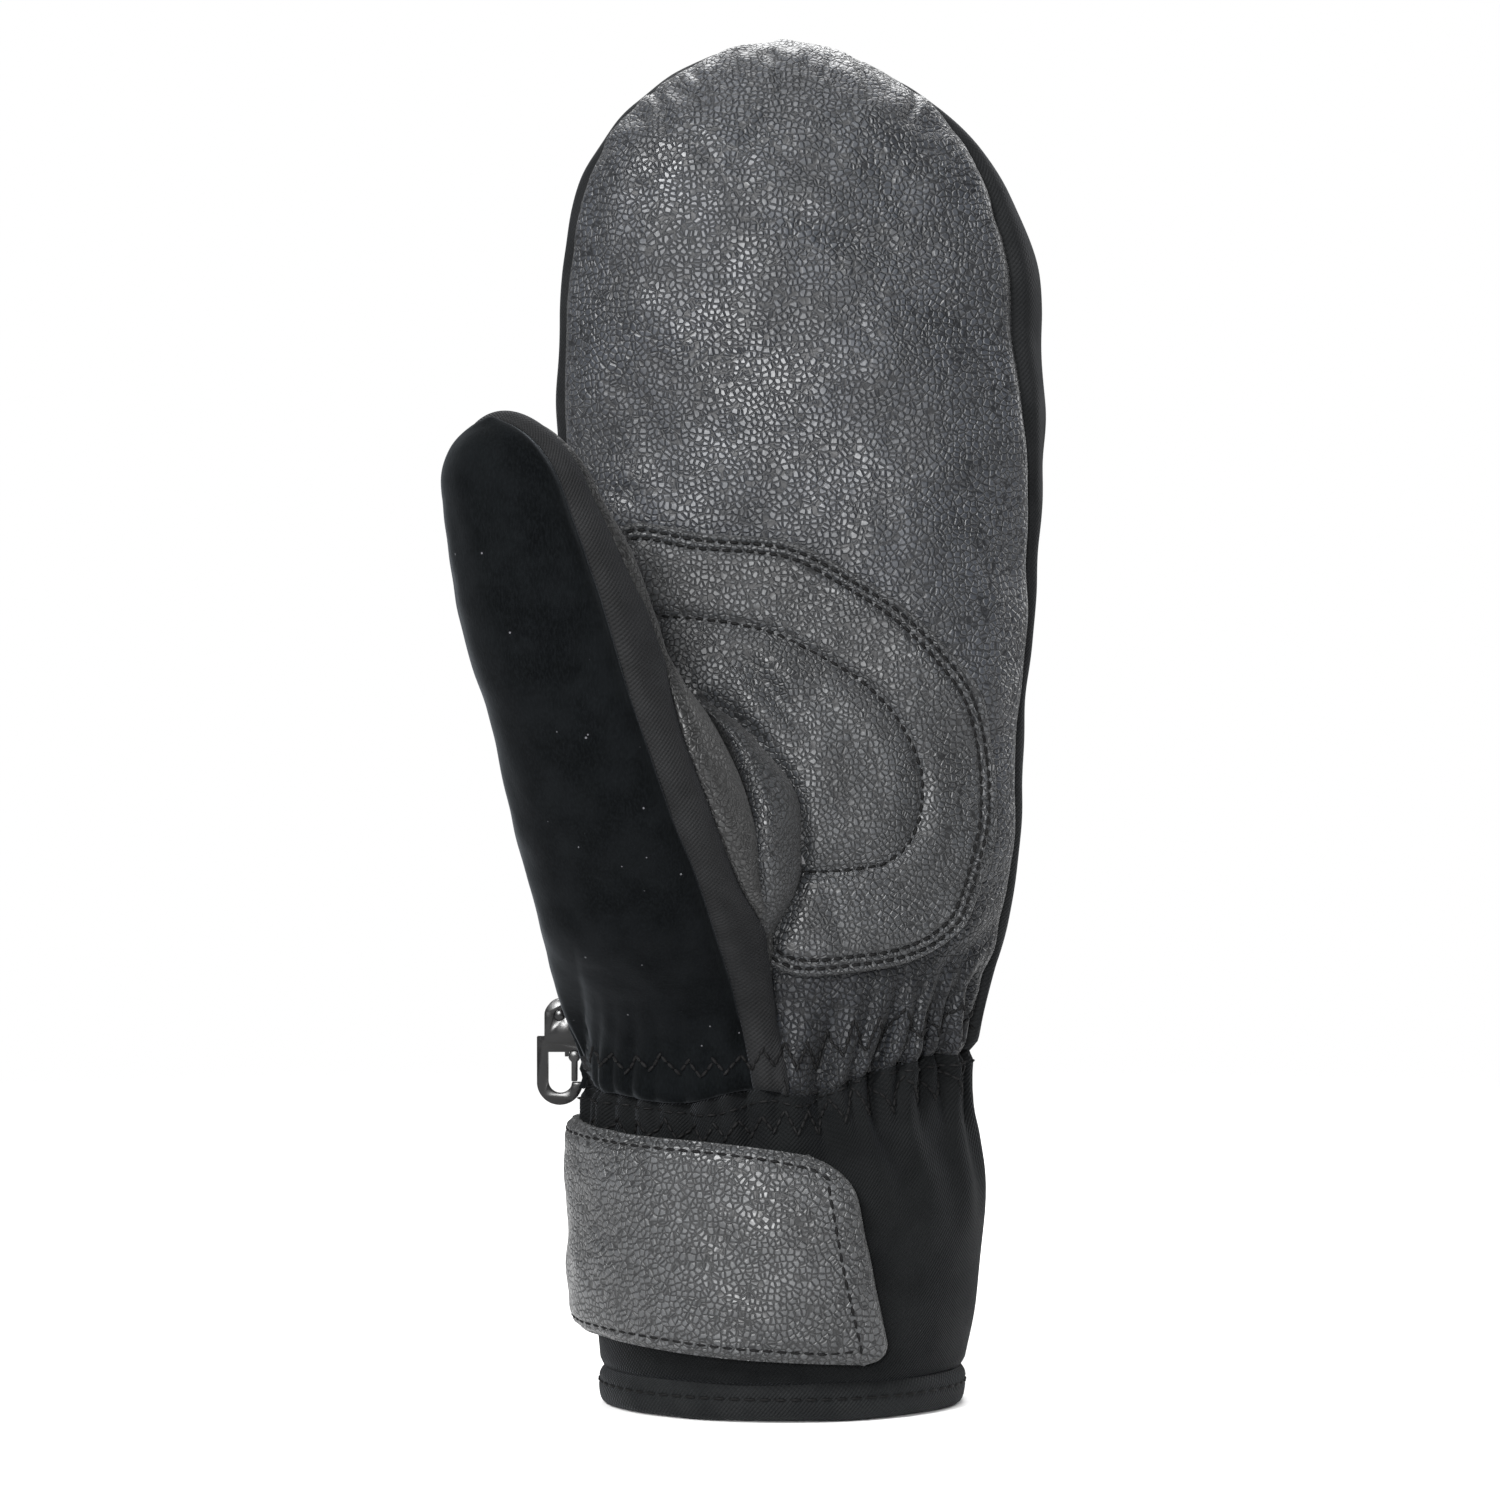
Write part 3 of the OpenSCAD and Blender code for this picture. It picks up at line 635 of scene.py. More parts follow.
def suede(name, dark, light):
    """Nearly black nap, brushed in soft patches, with a few specks of lint."""
    f = Finish(name, 0.97, 0.04)
    nap = f.noise(7, 4)
    fibres = f.noise(0.35, 3.0, f.stretched((1, 1, 0.35)))
    f.bumps(f.noise(6, 3), 0.35, 0.5)
    f.bumps(fibres, 0.07, 0.8)
    specks = f.node("ShaderNodeTexVoronoi", Vector=f.place, Scale=1 / (3.4 * MM), Randomness=1.0)
    rare = f.spread(f.noise(2.3, 1), 0.52, 0.56)
    lint = f.maths("MULTIPLY", f.spread(specks.outputs["Distance"], 0.075, 0.045), rare)
    tone = f.colours(f.spread(nap, 0.32, 0.7), dark, light)
    tone = f.colours(f.spread(fibres, 0.35, 0.75, 0.0, 0.5), tone, scaled(light, 1.7))
    f.set(Sheen_Weight=0.06, Sheen_Roughness=0.4, Sheen_Tint=(0.8, 0.87, 0.95, 1))
    return f.done(f.colours(f.maths("MULTIPLY", lint, 0.6), tone, (0.13, 0.13, 0.14)))


def plain(name, colour, roughness, fuzz=0.0, grain=0.4, depth=0.03, specular=0.5):
    """A simple finish with fine grain and a little change of tone."""
    f = Finish(name, roughness, specular)
    f.bumps(f.noise(grain, 3), depth)
    if fuzz:
        f.set(Sheen_Weight=fuzz, Sheen_Roughness=0.6)
    return f.done(
        f.colours(f.noise(5, 3), scaled(colour, 0.8), colour),
        f.spread(f.noise(4, 2), 0.3, 0.7, roughness - 0.04, roughness + 0.06),
    )


def paper():
    """White paper that fades away with distance, so that its edge never shows."""
    f = Finish("paper", 0.9, 0.1)
    away = f.node("ShaderNodeVectorMath", {"operation": "LENGTH"})
    f.feed(away.inputs[0], f.place)
    f.feed(f.shader.inputs["Alpha"], f.spread(away.outputs["Value"], 0.3, 0.85, 1.0, 0.0))
    return f.done((0.86, 0.86, 0.86))


def webbing_finish(name, colour):
    """Ribbed narrow webbing."""
    f = Finish(name, 0.6, 0.4)
    split = f.node("ShaderNodeSeparateXYZ", Vector=f.place)
    ribs = f.wave(split.outputs["Z"], 0.7)
    f.bumps(ribs, 0.08)
    return f.done(f.colours(f.spread(ribs, -1, 1), scaled(colour, 0.6), colour))


def make_finishes():
    smooth_hide = (0.011, 0.0121, 0.0138), (0.0226, 0.0246, 0.0276)
    finishes.update(
        # The palm leather gets painted shade towards the wrist.
        palm=leather(
            "palm leather", (0.0108, 0.0124, 0.0156), (0.0225, 0.0255, 0.0315), wrist_shade=0.45
        ),
        patch=leather("patch leather", *smooth_hide, 1.1, 0.1),
        gusset=leather("gusset leather", *smooth_hide, 1.1, 0.1),
        thumb=leather("thumb leather", (0.006, 0.0063, 0.0066), (0.011, 0.0115, 0.012), 1.1, 0.07),
        strap=leather(
            "strap leather", (0.022, 0.0232, 0.0248), (0.041, 0.043, 0.0455), 1.2, 0.12, 0.48
        ),
        suede=suede("thumb suede", (0.0008, 0.0011, 0.0013), (0.0024, 0.0029, 0.0033)),
        strip=woven(
            "thumb strip softshell", (0.008, 0.0082, 0.0085), (0.0128, 0.0131, 0.0137), 0.5, 0.08
        ),
        softshell=woven(
            "back softshell", (0.006, 0.0065, 0.0069), (0.0097, 0.0102, 0.0108), 0.6, 0.05
        ),
        cuff=woven("cuff softshell", (0.0022, 0.0026, 0.0028), (0.004, 0.0045, 0.0048), 0.6, 0.1),
        hem=woven("hem softshell", (0.0062, 0.0068, 0.0072), (0.0103, 0.011, 0.0114), 0.6, 0.1),
        thread=plain("sewing thread", (0.002, 0.002, 0.0022), 0.7, 0.0, 0.3, 0.05, 0.15),
        elastic=plain("elastic tape", (0.02, 0.02, 0.021), 0.7, 0.2),
        membrane=plain("membrane film", (0.62, 0.63, 0.64), 0.35, 0.0, 1.5, 0.02),
        insulation=plain("fibre insulation", (0.66, 0.62, 0.5), 0.95, 0.6, 1.2, 0.4),
        foam=plain("foam pad", (0.12, 0.12, 0.125), 0.9, 0.2, 0.6, 0.1),
        liner=plain("fleece liner", (0.045, 0.046, 0.05), 0.95, 0.7, 1.3, 0.35),
        lining=plain("cuff lining", (0.04, 0.041, 0.044), 0.85, 0.4, 0.9, 0.12),
        label=plain("blank care label", (0.72, 0.72, 0.7), 0.6, 0.2),
        webbing=webbing_finish("clip webbing", (0.016, 0.016, 0.017)),
        loops=plain("loop tape", (0.005, 0.005, 0.0055), 0.95, 0.06, 0.5, 0.25, 0.1),
        hooks=plain("hook tape", (0.006, 0.006, 0.0065), 0.7, 0.0, 0.7, 0.3, 0.15),
        plastic=plain("clip plastic", (0.004, 0.004, 0.0043), 0.2, 0.0, 0.5, 0.01, 0.25),
        gate=plain("gate plastic", (0.008, 0.0082, 0.0085), 0.2, 0.0, 0.5, 0.01, 0.3),
        stage=paper(),
    )


# ================ Shells of the hand ================

pieces = {}

PALM_CREASES = [
    ((-18.5, 266), (-14, 255), 0.7, 0.8), ((-10, 269), (-8.5, 260), 0.5, 0.7),
    ((-3.5, 270), (1.5, 256), 0.8, 0.8), ((2.5, 269), (5.5, 259), 0.6, 0.7),
    ((9, 268), (8, 261), 0.4, 0.7), ((14, 267), (17.5, 258), 0.6, 0.7),
    ((-27, 262), (-21, 251), 0.7, 0.9), ((26, 262), (25, 252), 0.6, 0.9),
    ((36, 250), (26, 247), 0.45, 0.7), ((39, 245), (24, 242), 0.5, 0.8),
    ((41, 239), (30, 238.5), 0.4, 0.7), ((-3, 257), (-8, 248), 0.35, 0.8),
    ((2, 255), (6, 246), 0.35, 0.8), ((-14, 234), (24, 231), 0.55, 2.2),
    ((-6, 227), (34, 229), 0.45, 1.8), ((-34, 222), (-12, 216), 0.3, 2.6),
    ((-37, 205), (-22, 190), 0.35, 2.6), ((20, 217), (44, 213), 0.35, 2.0),
    ((-38, 181), (-24, 178), 0.35, 2.0), ((45, 101), (31, 84), 0.5, 1.4),
    ((43, 92), (33, 78), 0.5, 1.2), ((26, 84), (29, 70), 0.6, 1.1),
]
BACK_CREASES = [
    ((-40, 182), (30, 176), 0.6, 3.0), ((-20, 190), (44, 186), 0.5, 2.6),
    ((-36, 120), (-8, 105), 0.5, 3.0), ((38, 126), (12, 112), 0.5, 3.0),
    ((-30, 96), (20, 90), 0.5, 2.4),
]
PATCH_CREASES = [
    ((-14, 150), (4, 138), 0.7, 2.0), ((-8, 143), (8, 132), 0.5, 1.7),
    ((32, 132), (40, 116), 0.3, 1.5), ((6, 103), (14, 90), 0.3, 1.6),
]


def hand_heights(seam):
    """Rows from the cuff seam up over the rounded tip; seam holds one height a column."""
    turn = np.radians(down(0, 89.3, 82)[1:])
    top = DOME_START + (TIP - DOME_START) * np.sin(turn)
    return np.concatenate([mixed(seam, DOME_START, down(0, 1, 142)), top + 0 * seam])


def softness(points, z):
    """Slow swells of the padding under the shell."""
    calm = smooth((z - 70) / 25)
    return calm * (0.42 * ripple(points, 34, 1) + 0.16 * ripple(points, 13, 2))


def inside(x, z, line):
    """Whether points of the x-z plane lie inside a closed polyline."""
    result = np.zeros(np.shape(x), bool)
    for (ax, az), (bx, bz) in zip(line, np.roll(line, -1, axis=0)):
        crosses = (az > z) != (bz > z)
        result ^= crosses & (x < (bx - ax) * (z - az) / (bz - az + 1e-12) + ax)
    return result


def shell_angle(z, seams, columns):
    """Angles from one side seam to the other at each height."""
    first, last = (along(z, table) + turn for table, turn in seams)
    return mixed(first, last, across(0, 1, columns))


def hand_shell(shape, seams, columns, reach, tip, lumps, creases):
    """A shell between two side seams: its plain points, and how far each one is raised.

    Each seam is its table and a turn added to it. Pleats lie within reach of the seams,
    above the height tip, with lumps of that size and seed.
    """
    z = hand_heights(cuff_seam(shell_angle(SEAM_LEVEL, seams, columns)))
    angle = shell_angle(z, seams, columns)
    base = hand_surface(z, angle)
    left, right = edge_distances(base)
    near = np.exp(-np.minimum(left, right) / reach) * smooth((z - tip) / 40)
    lift = softness(base, z) + seam_roll(left) + seam_roll(right)
    lift += shape.pleats * 0.1 * near * ripple(base, *lumps)
    lift += shape.folds * creased(base, creases) + shape.gathers * puckers(base, angle, z)
    return base, lift - 1.1 * bump(z - cuff_seam(angle), 1.3)


def build_palm(shape):
    """The pebbled palm leather with its tip pleats, soft folds and wrist gathers."""
    seams = (INDEX_SEAM, 0), (LITTLE_SEAM, 0)
    base, lift = hand_shell(shape, seams, 108, 7, 200, (8, 5), PALM_CREASES)
    x, z = base[..., 0], base[..., 2]
    lift += 0.1 * ripple(base, 4.5, 6) * smooth((z - 225) / 20)
    edge = smooth_line(PATCH_EDGE, 150, closed=True)
    to_edge = line_distance(x, z, edge, closed=True)
    lift -= 0.8 * inside(x, z, edge) * smooth(to_edge / 2.5) + 0.25 * bump(to_edge, 1.2)
    palm = lay_grid("palm_shell", raised(base, tucked(base, lift)), thickness=1.1)
    pieces["palm"] = dressed(
        palm, "palm", KNUCKLE, ("palm_leather", "palm_leather_fingers")
    )


def build_back(shape):
    """The softshell back, from seam to seam round the outside of the hand."""
    seams = (LITTLE_SEAM, 0), (INDEX_SEAM, 360)
    base, lift = hand_shell(shape, seams, 116, 8, 205, (9, 7), BACK_CREASES)
    back = lay_grid("back_shell", raised(base, tucked(base, lift)), thickness=1.1)
    pieces["back"] = dressed(
        back, "softshell", KNUCKLE, ("back_softshell", "back_softshell_fingers")
    )


def rings(line, centre, reaches):
    """Copies of a line drawn in towards a centre, from the centre outwards."""
    return centre + (line[None] - centre) * reaches[:, None, None]


def build_patch(shape):
    """The palm patch with its double edge row, and the padded pad row inside it."""
    edge = smooth_line(PATCH_EDGE, 360, closed=True)
    reaches = np.concatenate([np.linspace(0, 0.9, 46), np.linspace(0.905, 1.0, 26)])
    flat = rings(np.concatenate([edge, edge[:1]]), np.array(PATCH_CENTRE), reaches)
    x, z = flat[..., 0], flat[..., 1]
    base = hand_surface(z, palm_angle(z, x))
    inwards = line_distance(x, z, edge, closed=True)
    row = smooth_line(PAD_ROW, 120)
    to_row = line_distance(x, z, row)
    in_pad = inside(x, z, np.concatenate([row, [[-12, 106], [-40, 130], [-40, 156]]]))
    lift = softness(base, z) + 1.05 * smooth((inwards + 0.25) / 0.8)
    for inset in EDGE_ROWS:
        lift -= 0.5 * bump(inwards - inset, 0.5)
    lift += 0.2 * bump(inwards - 5.2, 1.3) + 0.06 * ripple(base, 4, 8) * bump(inwards - 2, 3)
    fold = [(x_at, z_at) for z_at, x_at in GUSSET_EDGE[2:-1]]
    lift -= 0.95 * bump(to_row, 0.75) + 1.5 * bump(line_distance(x, z, fold), 1.8)
    lift += np.where(in_pad, smooth(to_row / 6), 0.35 * bump(to_row - 3.5, 2.2))
    lift += shape.folds * creased(base, PATCH_CREASES)
    patch = lay_grid("palm_patch_leather", raised(base, lift), thickness=0.9)
    pieces["patch"] = dressed(patch, "patch", KNUCKLE, ("palm_patch",))
    tree = tree_of(patch)
    line = smooth_line(PATCH_EDGE, 400, closed=True)
    way = np.gradient(line, axis=0)
    way /= np.linalg.norm(way, axis=1, keepdims=True)
    inner = np.stack([way[:, 1], -way[:, 0]], 1)
    rows = [from_front(tree, line + inset * inner) for inset in EDGE_ROWS]
    stitches("patch_edge_stitches", rows, KNUCKLE)
    stitches("pad_row_stitches", [from_front(tree, row)], KNUCKLE, lift=0.0)


def build_pad():
    """The thin foam pad between the patch and the palm."""
    line = smooth_line(PAD_ROW + [(-9, 112), (-14, 128), (-22, 144)], 120, closed=True)
    line = np.concatenate([line, line[:1]])
    flat = rings(line, line.mean(axis=0), np.linspace(0, 0.94, 22))
    z = flat[..., 1]
    base = hand_surface(z, palm_angle(z, flat[..., 0]))
    pad = lay_grid("pad_foam", raised(base, softness(base, z) + 0.15), thickness=0.6)
    dressed(pad, "foam", KNUCKLE, ("palm_pad",))


# ================ Thumb ================

THUMB_ROWS = 112
CAP_ROWS = 30
FOOT = 64.0


def panel_axes(sign=1):
    """Unit directions out of the strip's side and along it, over the rounded end."""
    turn = math.radians(PANEL_TURN)
    outwards = sign * np.array([math.sin(turn), -math.cos(turn), 0.0])
    return outwards, sign * np.array([math.cos(turn), math.sin(turn), 0.0])


def cap_panel(sign, columns):
    """Rows of the rounded end on one side of the strip, from its foot to its top point."""
    n, t = panel_axes(sign)
    rise = down(0, math.acos(PANEL_REACH) * 0.9995, CAP_ROWS)[1:]
    width = np.arccos(np.clip(PANEL_REACH / np.cos(rise), -1, 1))
    psi = width * across(-1, 1, columns)
    flat = np.cos(rise)[..., None] * (np.cos(psi)[..., None] * n + np.sin(psi)[..., None] * t)
    flat[..., 2] = np.sin(rise) + 0 * psi
    return thumb_cap(flat)


def cap_strip(columns):
    """Rows of the strip's band over the rounded end, from the front to the far side."""
    n, t = panel_axes()
    wide = (np.linspace(1, -1, columns) * math.asin(PANEL_REACH))[None, :, None]
    over = np.radians(np.linspace(0, 180, 56))[1:-1, None, None]
    bow = np.cos(over) * t + np.sin(over) * np.array([0, 0, 1.0])
    return thumb_cap(np.sin(wide) * n + np.cos(wide) * bow)


def thumb_side(z, side):
    """Angle of a panel's side: a constant, or the seam that a table gives."""
    return thumb_seam(z, side) if isinstance(side, list) else side + 0 * z


def thumb_sector(low, first, last, columns):
    """Points of a thumb panel between two sides, from its foot to the rounded end."""
    z = mixed(low, THUMB_TOP, down(0, 1, THUMB_ROWS))
    return thumb_surface(z, mixed(thumb_side(z, first), thumb_side(z, last), across(0, 1, columns)))


def thumb_foot(first, last, columns):
    """Heights of the cuff seam at the foot of a thumb panel."""
    turn = np.radians(across(first, last, columns))
    x = along(FOOT, THUMB_X) + along(FOOT, THUMB_A) * np.sin(turn)
    return cuff_seam(palm_angle(FOOT, x))


def thumb_gathers(base, shape, amount):
    """Heights of the gathers and of the seam at a thumb panel's foot."""
    high = base[..., 2]
    angle = palm_angle(high, base[..., 0])
    low = smooth((96 - high) / 20) * (np.arange(len(base)) < THUMB_ROWS)[:, None]
    gathers = amount * shape.gathers * puckers(base, angle, high)
    return low * (gathers - 0.9 * bump(high - cuff_seam(angle), 1.2))


def thumb_piece(key, name, parts, ripples, stands_for, foot=None):
    """A thumb panel from its parts, with rolled seams and slow ripples."""
    base = np.concatenate(parts)
    left, right = edge_distances(base)
    lift = 0.75 * (seam_roll(left) + seam_roll(right))
    for strength, size, seed in ripples:
        lift += strength * ripple(base, size, seed)
    if foot:
        lift += thumb_gathers(base, *foot)
    panel = lay_grid(name, raised(base, lift), thickness=1.0)
    pieces[key] = dressed(panel, key, THUMB_JOINT, stands_for)


def build_thumb(shape):
    """The suede panel, the softshell strip over the tip, and the leather inside of the thumb."""
    columns = 84
    low = thumb_foot(FAR_SUEDE, NEAR_SUEDE, columns)
    thumb_piece(
        "suede", "thumb_suede",
        [thumb_sector(low, FAR_SUEDE, SUEDE_LINE, columns), cap_panel(1, columns)],
        [(0.2, 34, 21), (0.07, 9, 22)], ("thumb_panel", "thumb_panel_base"), (shape, 0.45),
    )
    columns = 18
    low = thumb_foot(NEAR_SUEDE, 90, columns)
    far = thumb_surface(down(THUMB_TOP, 66, 84), across(FAR_SUEDE, FAR_STRIP - 360, columns))
    thumb_piece(
        "strip", "thumb_strip_band",
        [thumb_sector(low, SUEDE_LINE, STRIP_LINE, columns), cap_strip(columns), far],
        [(0.12, 22, 23)], ("thumb_strip", "thumb_strip_base"), (shape, 0.5),
    )
    columns = 70
    thumb_piece(
        "thumb", "thumb_inside_leather",
        [thumb_sector(84.0, STRIP_LINE, FAR_STRIP, columns), cap_panel(-1, columns)],
        [(0.15, 26, 24), (0.05, 8, 25)], ("thumb_leather",),
    )


GUSSET_EDGE = [
    (84, -8), (90, -3.4), (92.8, -2.4), (96.4, -0.8), (102, 2), (105, 3), (112, 3.6),
    (119, 3), (125, 0.2), (133, -6.2), (139, -14), (145, -21),
]
GUSSET_SIZE = [
    (84, 0.4), (90, 1.2), (93, 2.4), (98, 4.4), (105, 6.2), (119, 6.6), (125, 5.4),
    (133, 3.6), (139, 2), (145, 0.5),
]
GUSSET_CREASES = [((-6, 128), (1, 116), 0.4, 1.0), ((-8, 110), (-2, 97), 0.35, 1.0)]


def build_gusset(shape):
    """The soft leather roll where the thumb meets the palm."""
    z = down(84, 145, 80)
    turn = np.radians(across(-180, 180, 61))
    size = along(z, GUSSET_SIZE)
    x = along(z, GUSSET_EDGE) - size + size * np.sin(turn)
    outwards = np.cos(turn) * np.where(np.cos(turn) > 0, 2.15, 0.35)
    y = hand_surface(z, palm_angle(z, x))[..., 1] + 0.6 - size * outwards
    base = np.stack(np.broadcast_arrays(x, y, z), -1)
    lift = 0.35 * ripple(base, 14, 31) + shape.folds * creased(base, GUSSET_CREASES)
    roll = lay_grid("thumb_gusset_roll", raised(base, lift))
    pieces["gusset"] = dressed(roll, "gusset", stands_for=("thumb_gusset",))


# ================ Cuff ================


def flat_patch(name, heights, turns, depth, thickness, finish, body="hand", node=None):
    """A small sheet laid on the cuff at a depth below its surface."""
    sheet = lay_grid(name, hand_surface(down(*heights), across(*turns), depth), thickness=thickness)
    dressed(sheet, finish, stands_for=(node,), body=body)


def build_cuff(shape):
    """The stretch cuff with its gathers, the folded hem and the lining inside."""
    angle = across(*TURN, 321)
    z = mixed(HEM, cuff_seam(angle), down(0, 1, 76))
    base = hand_surface(z, angle)
    lift = shape.gathers * puckers(base, angle, z) + 0.3 * ripple(base, 26, 41)
    lift -= 1.1 * bump(z - cuff_seam(angle), 1.3) + 0.7 * bump(z - HEM, 0.9)
    lift[:, -1] = lift[:, 0]
    cuff = lay_grid("cuff_stretch_shell", raised(base, lift), thickness=1.1)
    pieces["cuff"] = dressed(cuff, "cuff", stands_for=("cuff_shell",))

    profile = smooth_line([
        (7.6, 3.3), (4, 3.5), (1.0, 3.2), (0.1, 2.0), (0.5, 0.5), (3.4, -0.35), (6.4, 0.0),
        (7.5, 0.9),
    ], 30)
    angle = across(*TURN, 241)
    high, deep = profile[:, :1] + 0 * angle, profile[:, 1:] + 0 * angle
    base = hand_surface(high, angle, deep)
    lift = 0.12 * ripple(base, 16, 42) - 0.3 * bump(high - HEM_STITCHES, 0.5)
    hem = lay_grid("cuff_hem", raised(base, lift))
    pieces["hem"] = dressed(hem, "hem", stands_for=("hem_band",))

    z = down(HEM - 1.5, LINING_TOP, 40)
    deep = along(z, LINING_DEPTH)
    tube = hand_surface(z, across(*TURN[::-1], 161), deep)
    lining = lay_grid("cuff_lining_tube", tube, thickness=-1.0)
    dressed(lining, "lining", stands_for=("cuff_lining",))
    deep = along(down(14, 40, 12), LABEL_DEPTH)
    flat_patch("blank_label", (14, 40, 12), (195, 165, 12), deep, -0.3, "label",
               node="care_label")


def build_cuff_stitches():
    """Zigzag rows over the elastics, and plain rows beside the cuff seam and on the hem."""
    skins = tree_of(*(pieces[k] for k in ("palm", "back", "suede", "strip", "cuff", "hem")))
    count = int(CUFF_RADIUS * math.radians(166) / ZIGZAG_STEP)
    corner = np.linspace(-82, 84, count + 1)
    k = np.arange(count + 1)
    at = np.linspace(0, count, count * 6 + 1)
    swing = np.where(k % 2, 1.0, -1.0)
    wander = 0.5 * np.sin(corner / 9) + 0.4 * np.sin(corner / 4.1 + 1)
    for name, offset, small, large in (
        ("zigzag_upper", 6.8, 1.5, 3.0), ("zigzag_lower", -6.0, 1.6, 2.6)
    ):
        size = mixed(small, large, smooth((corner + 20) / 40))
        heights = cuff_seam(corner) + offset + size * swing + wander
        row = from_around(skins, np.interp(at, k, corner), np.interp(at, k, heights))
        stitches(f"{name}_stitches", [row], None, 1.75, 1.8, 0.36, 0.12)
    angles = np.linspace(-90, 250, 420)
    row = from_around(skins, angles, cuff_seam(angles) - 2.2)
    stitches("cuff_seam_stitches", [row], None, 2.6, 2.0, 0.3, 0.05)
    row = from_around(skins, np.linspace(*TURN, 420), np.full(420, HEM_STITCHES))
    stitches("hem_stitches", [row], None, 3.0, 2.3, 0.3, 0.1)
    for name, low, high in (("wrist_elastic_upper", 67, 74), ("wrist_elastic_lower", 55, 62)):
        flat_patch(f"{name}_tape", (low, high, 8), (-82, 82, 90), 4.1, 0.6, "elastic",
                   node=name)


def strap_edges(angle):
    """Bottom and top heights of the strap at an angle round the wrist."""
    bottom = along(angle, [(-160, 17), (-95, 16), (-50, 14.6), (0, 12.4), (32, 11.2)])
    top = along(angle, [(-160, 56), (-95, 57), (-50, 55.4), (0, 52.8), (12, 51.2), (32, 49)])
    return bottom, top


def strap_tip(v, back):
    """Angle of the strap's tip at a share v of its height, drawn back by a distance."""
    return palm_angle(mixed(11, 50, v), mixed(19.3, 12.9, v) - 1.2 * v**2 - back)


def strap_grid(columns, rows):
    """The strap's face: rows from bottom to top, columns from the sewn end to the rounded tip."""
    v = (1 - np.cos(down(0, math.pi, rows))) / 2
    near = np.minimum(v, 1 - v) * STRAP_HEIGHT
    radius = np.where(v > 0.5, 7.0, 5.0)
    corner = radius - np.sqrt(np.maximum(0, radius**2 - (radius - near) ** 2))
    cut = np.where(near < radius, corner, 0)
    angle = mixed(STRAP_START, strap_tip(v, cut), across(0, 1, columns))
    return mixed(*strap_edges(angle), v), angle


def build_strap():
    """The leather wrist strap with rolled, stitched edges, and its hook and loop tapes."""
    z, angle = strap_grid(190, 60)
    to_tip = edge_distances(hand_surface(z, angle))[1]
    bottom, top = strap_edges(angle)
    to_edge = np.minimum(np.minimum(z - bottom, top - z), to_tip)
    base = hand_surface(z, angle, -(along(angle, STRAP_UNDER) + 1.6))
    lift = 0.5 * smooth(to_edge / 12) + 0.3 * ripple(base, 22, 51) + 0.1 * ripple(base, 8, 52)
    for height, place, width in ((-1.3, 0, 0.9), (-0.32, STRAP_ROW, 0.5), (0.18, 4, 1.5)):
        lift += height * bump(to_edge - place, width)
    strap = lay_grid("wrist_strap_leather", raised(base, lift), thickness=1.3)
    pieces["strap"] = dressed(
        strap, "strap", STRAP_JOINT, ("strap_base", "strap_tab")
    )
    tip_v = np.linspace(0.08, 0.92, 60)
    tip = strap_tip(tip_v, 2.3)
    turns = np.linspace(-150, 14, 300)
    below, above = (turns[turns < end - 4] for end in (tip[0], tip[-1]))
    row = from_around(
        tree_of(strap),
        np.concatenate([below, tip, above[::-1]]),
        np.concatenate([
            strap_edges(below)[0] + STRAP_ROW, mixed(*strap_edges(tip), tip_v),
            strap_edges(above[::-1])[1] - STRAP_ROW,
        ]),
    )
    stitches("strap_stitches", [row], STRAP_JOINT, 2.6, 2.0, 0.32, 0.0)
    flat_patch("hook_tape_patch", (18, 44, 14), (-22, 12, 24), -2.25, 0.6, "hooks",
               "strap", "hook_tape")
    flat_patch("loop_tape_patch", (14, 47, 18), (-50, 16, 40), -1.0, 0.7, "loops",
               "hand", "loop_patch")


# ================ Layers inside ================


def lay_layer(name, points, thickness, finish, joint, stands_for):
    """One inner layer."""
    layer = lay_grid(name, points, thickness=thickness)
    dressed(layer, finish, joint, stands_for)


def build_layers():
    """Membrane, insulation and fleece liner of the hand and of the thumb."""
    tip = DOME_START + 55 * np.sin(np.radians(down(5, 89, 16)))
    z = np.concatenate([down(LINING_TOP, DOME_START, 44), tip])
    for name, depth, thick, finish, turns, nodes in (
        ("membrane_bag", 2.5, 0.25, "membrane", (-90, 270), ("membrane_hand", "membrane_fingers")),
        ("insulation_palm_pad", 2.8, 2.6, "insulation", (-80, 78),
         ("insulation_palm", "insulation_palm_fingers")),
        ("insulation_back_pad", 2.8, 2.6, "insulation", (78, 280),
         ("insulation_back", "insulation_back_fingers")),
        ("liner_bag", 5.6, 1.1, "liner", (-90, 270), ("liner_hand", "liner_fingers")),
    ):
        angle = across(*turns, 72)
        swell = softness(hand_surface(z, angle), z) * smooth((z - 84) / 20)
        lay_layer(name, raised(hand_surface(z, angle, depth), swell), thick, finish, KNUCKLE, nodes)
    rise = np.radians(down(0, 88, 12)[1:])
    turn = np.radians(across(-180, 180, 49))
    cap = np.stack(np.broadcast_arrays(
        np.cos(rise) * np.sin(turn), -np.cos(rise) * np.cos(turn), np.sin(rise)), -1)
    z = down(104, THUMB_TOP, 40)
    for name, inset, thick, finish, nodes in (
        ("membrane_thumb_bag", 2.4, 0.25, "membrane", ("membrane_thumb", "membrane_thumb_base")),
        ("insulation_thumb_pad", 2.7, 2.6, "insulation",
         ("insulation_thumb", "insulation_thumb_base")),
        ("liner_thumb_bag", 5.4, 1.1, "liner", ("liner_thumb", "liner_thumb_base")),
    ):
        tube = np.concatenate([thumb_surface(z, np.degrees(turn), inset), thumb_cap(cap, inset)])
        lay_layer(name, tube, thick, finish, THUMB_JOINT, nodes)


# ================ Clip ================


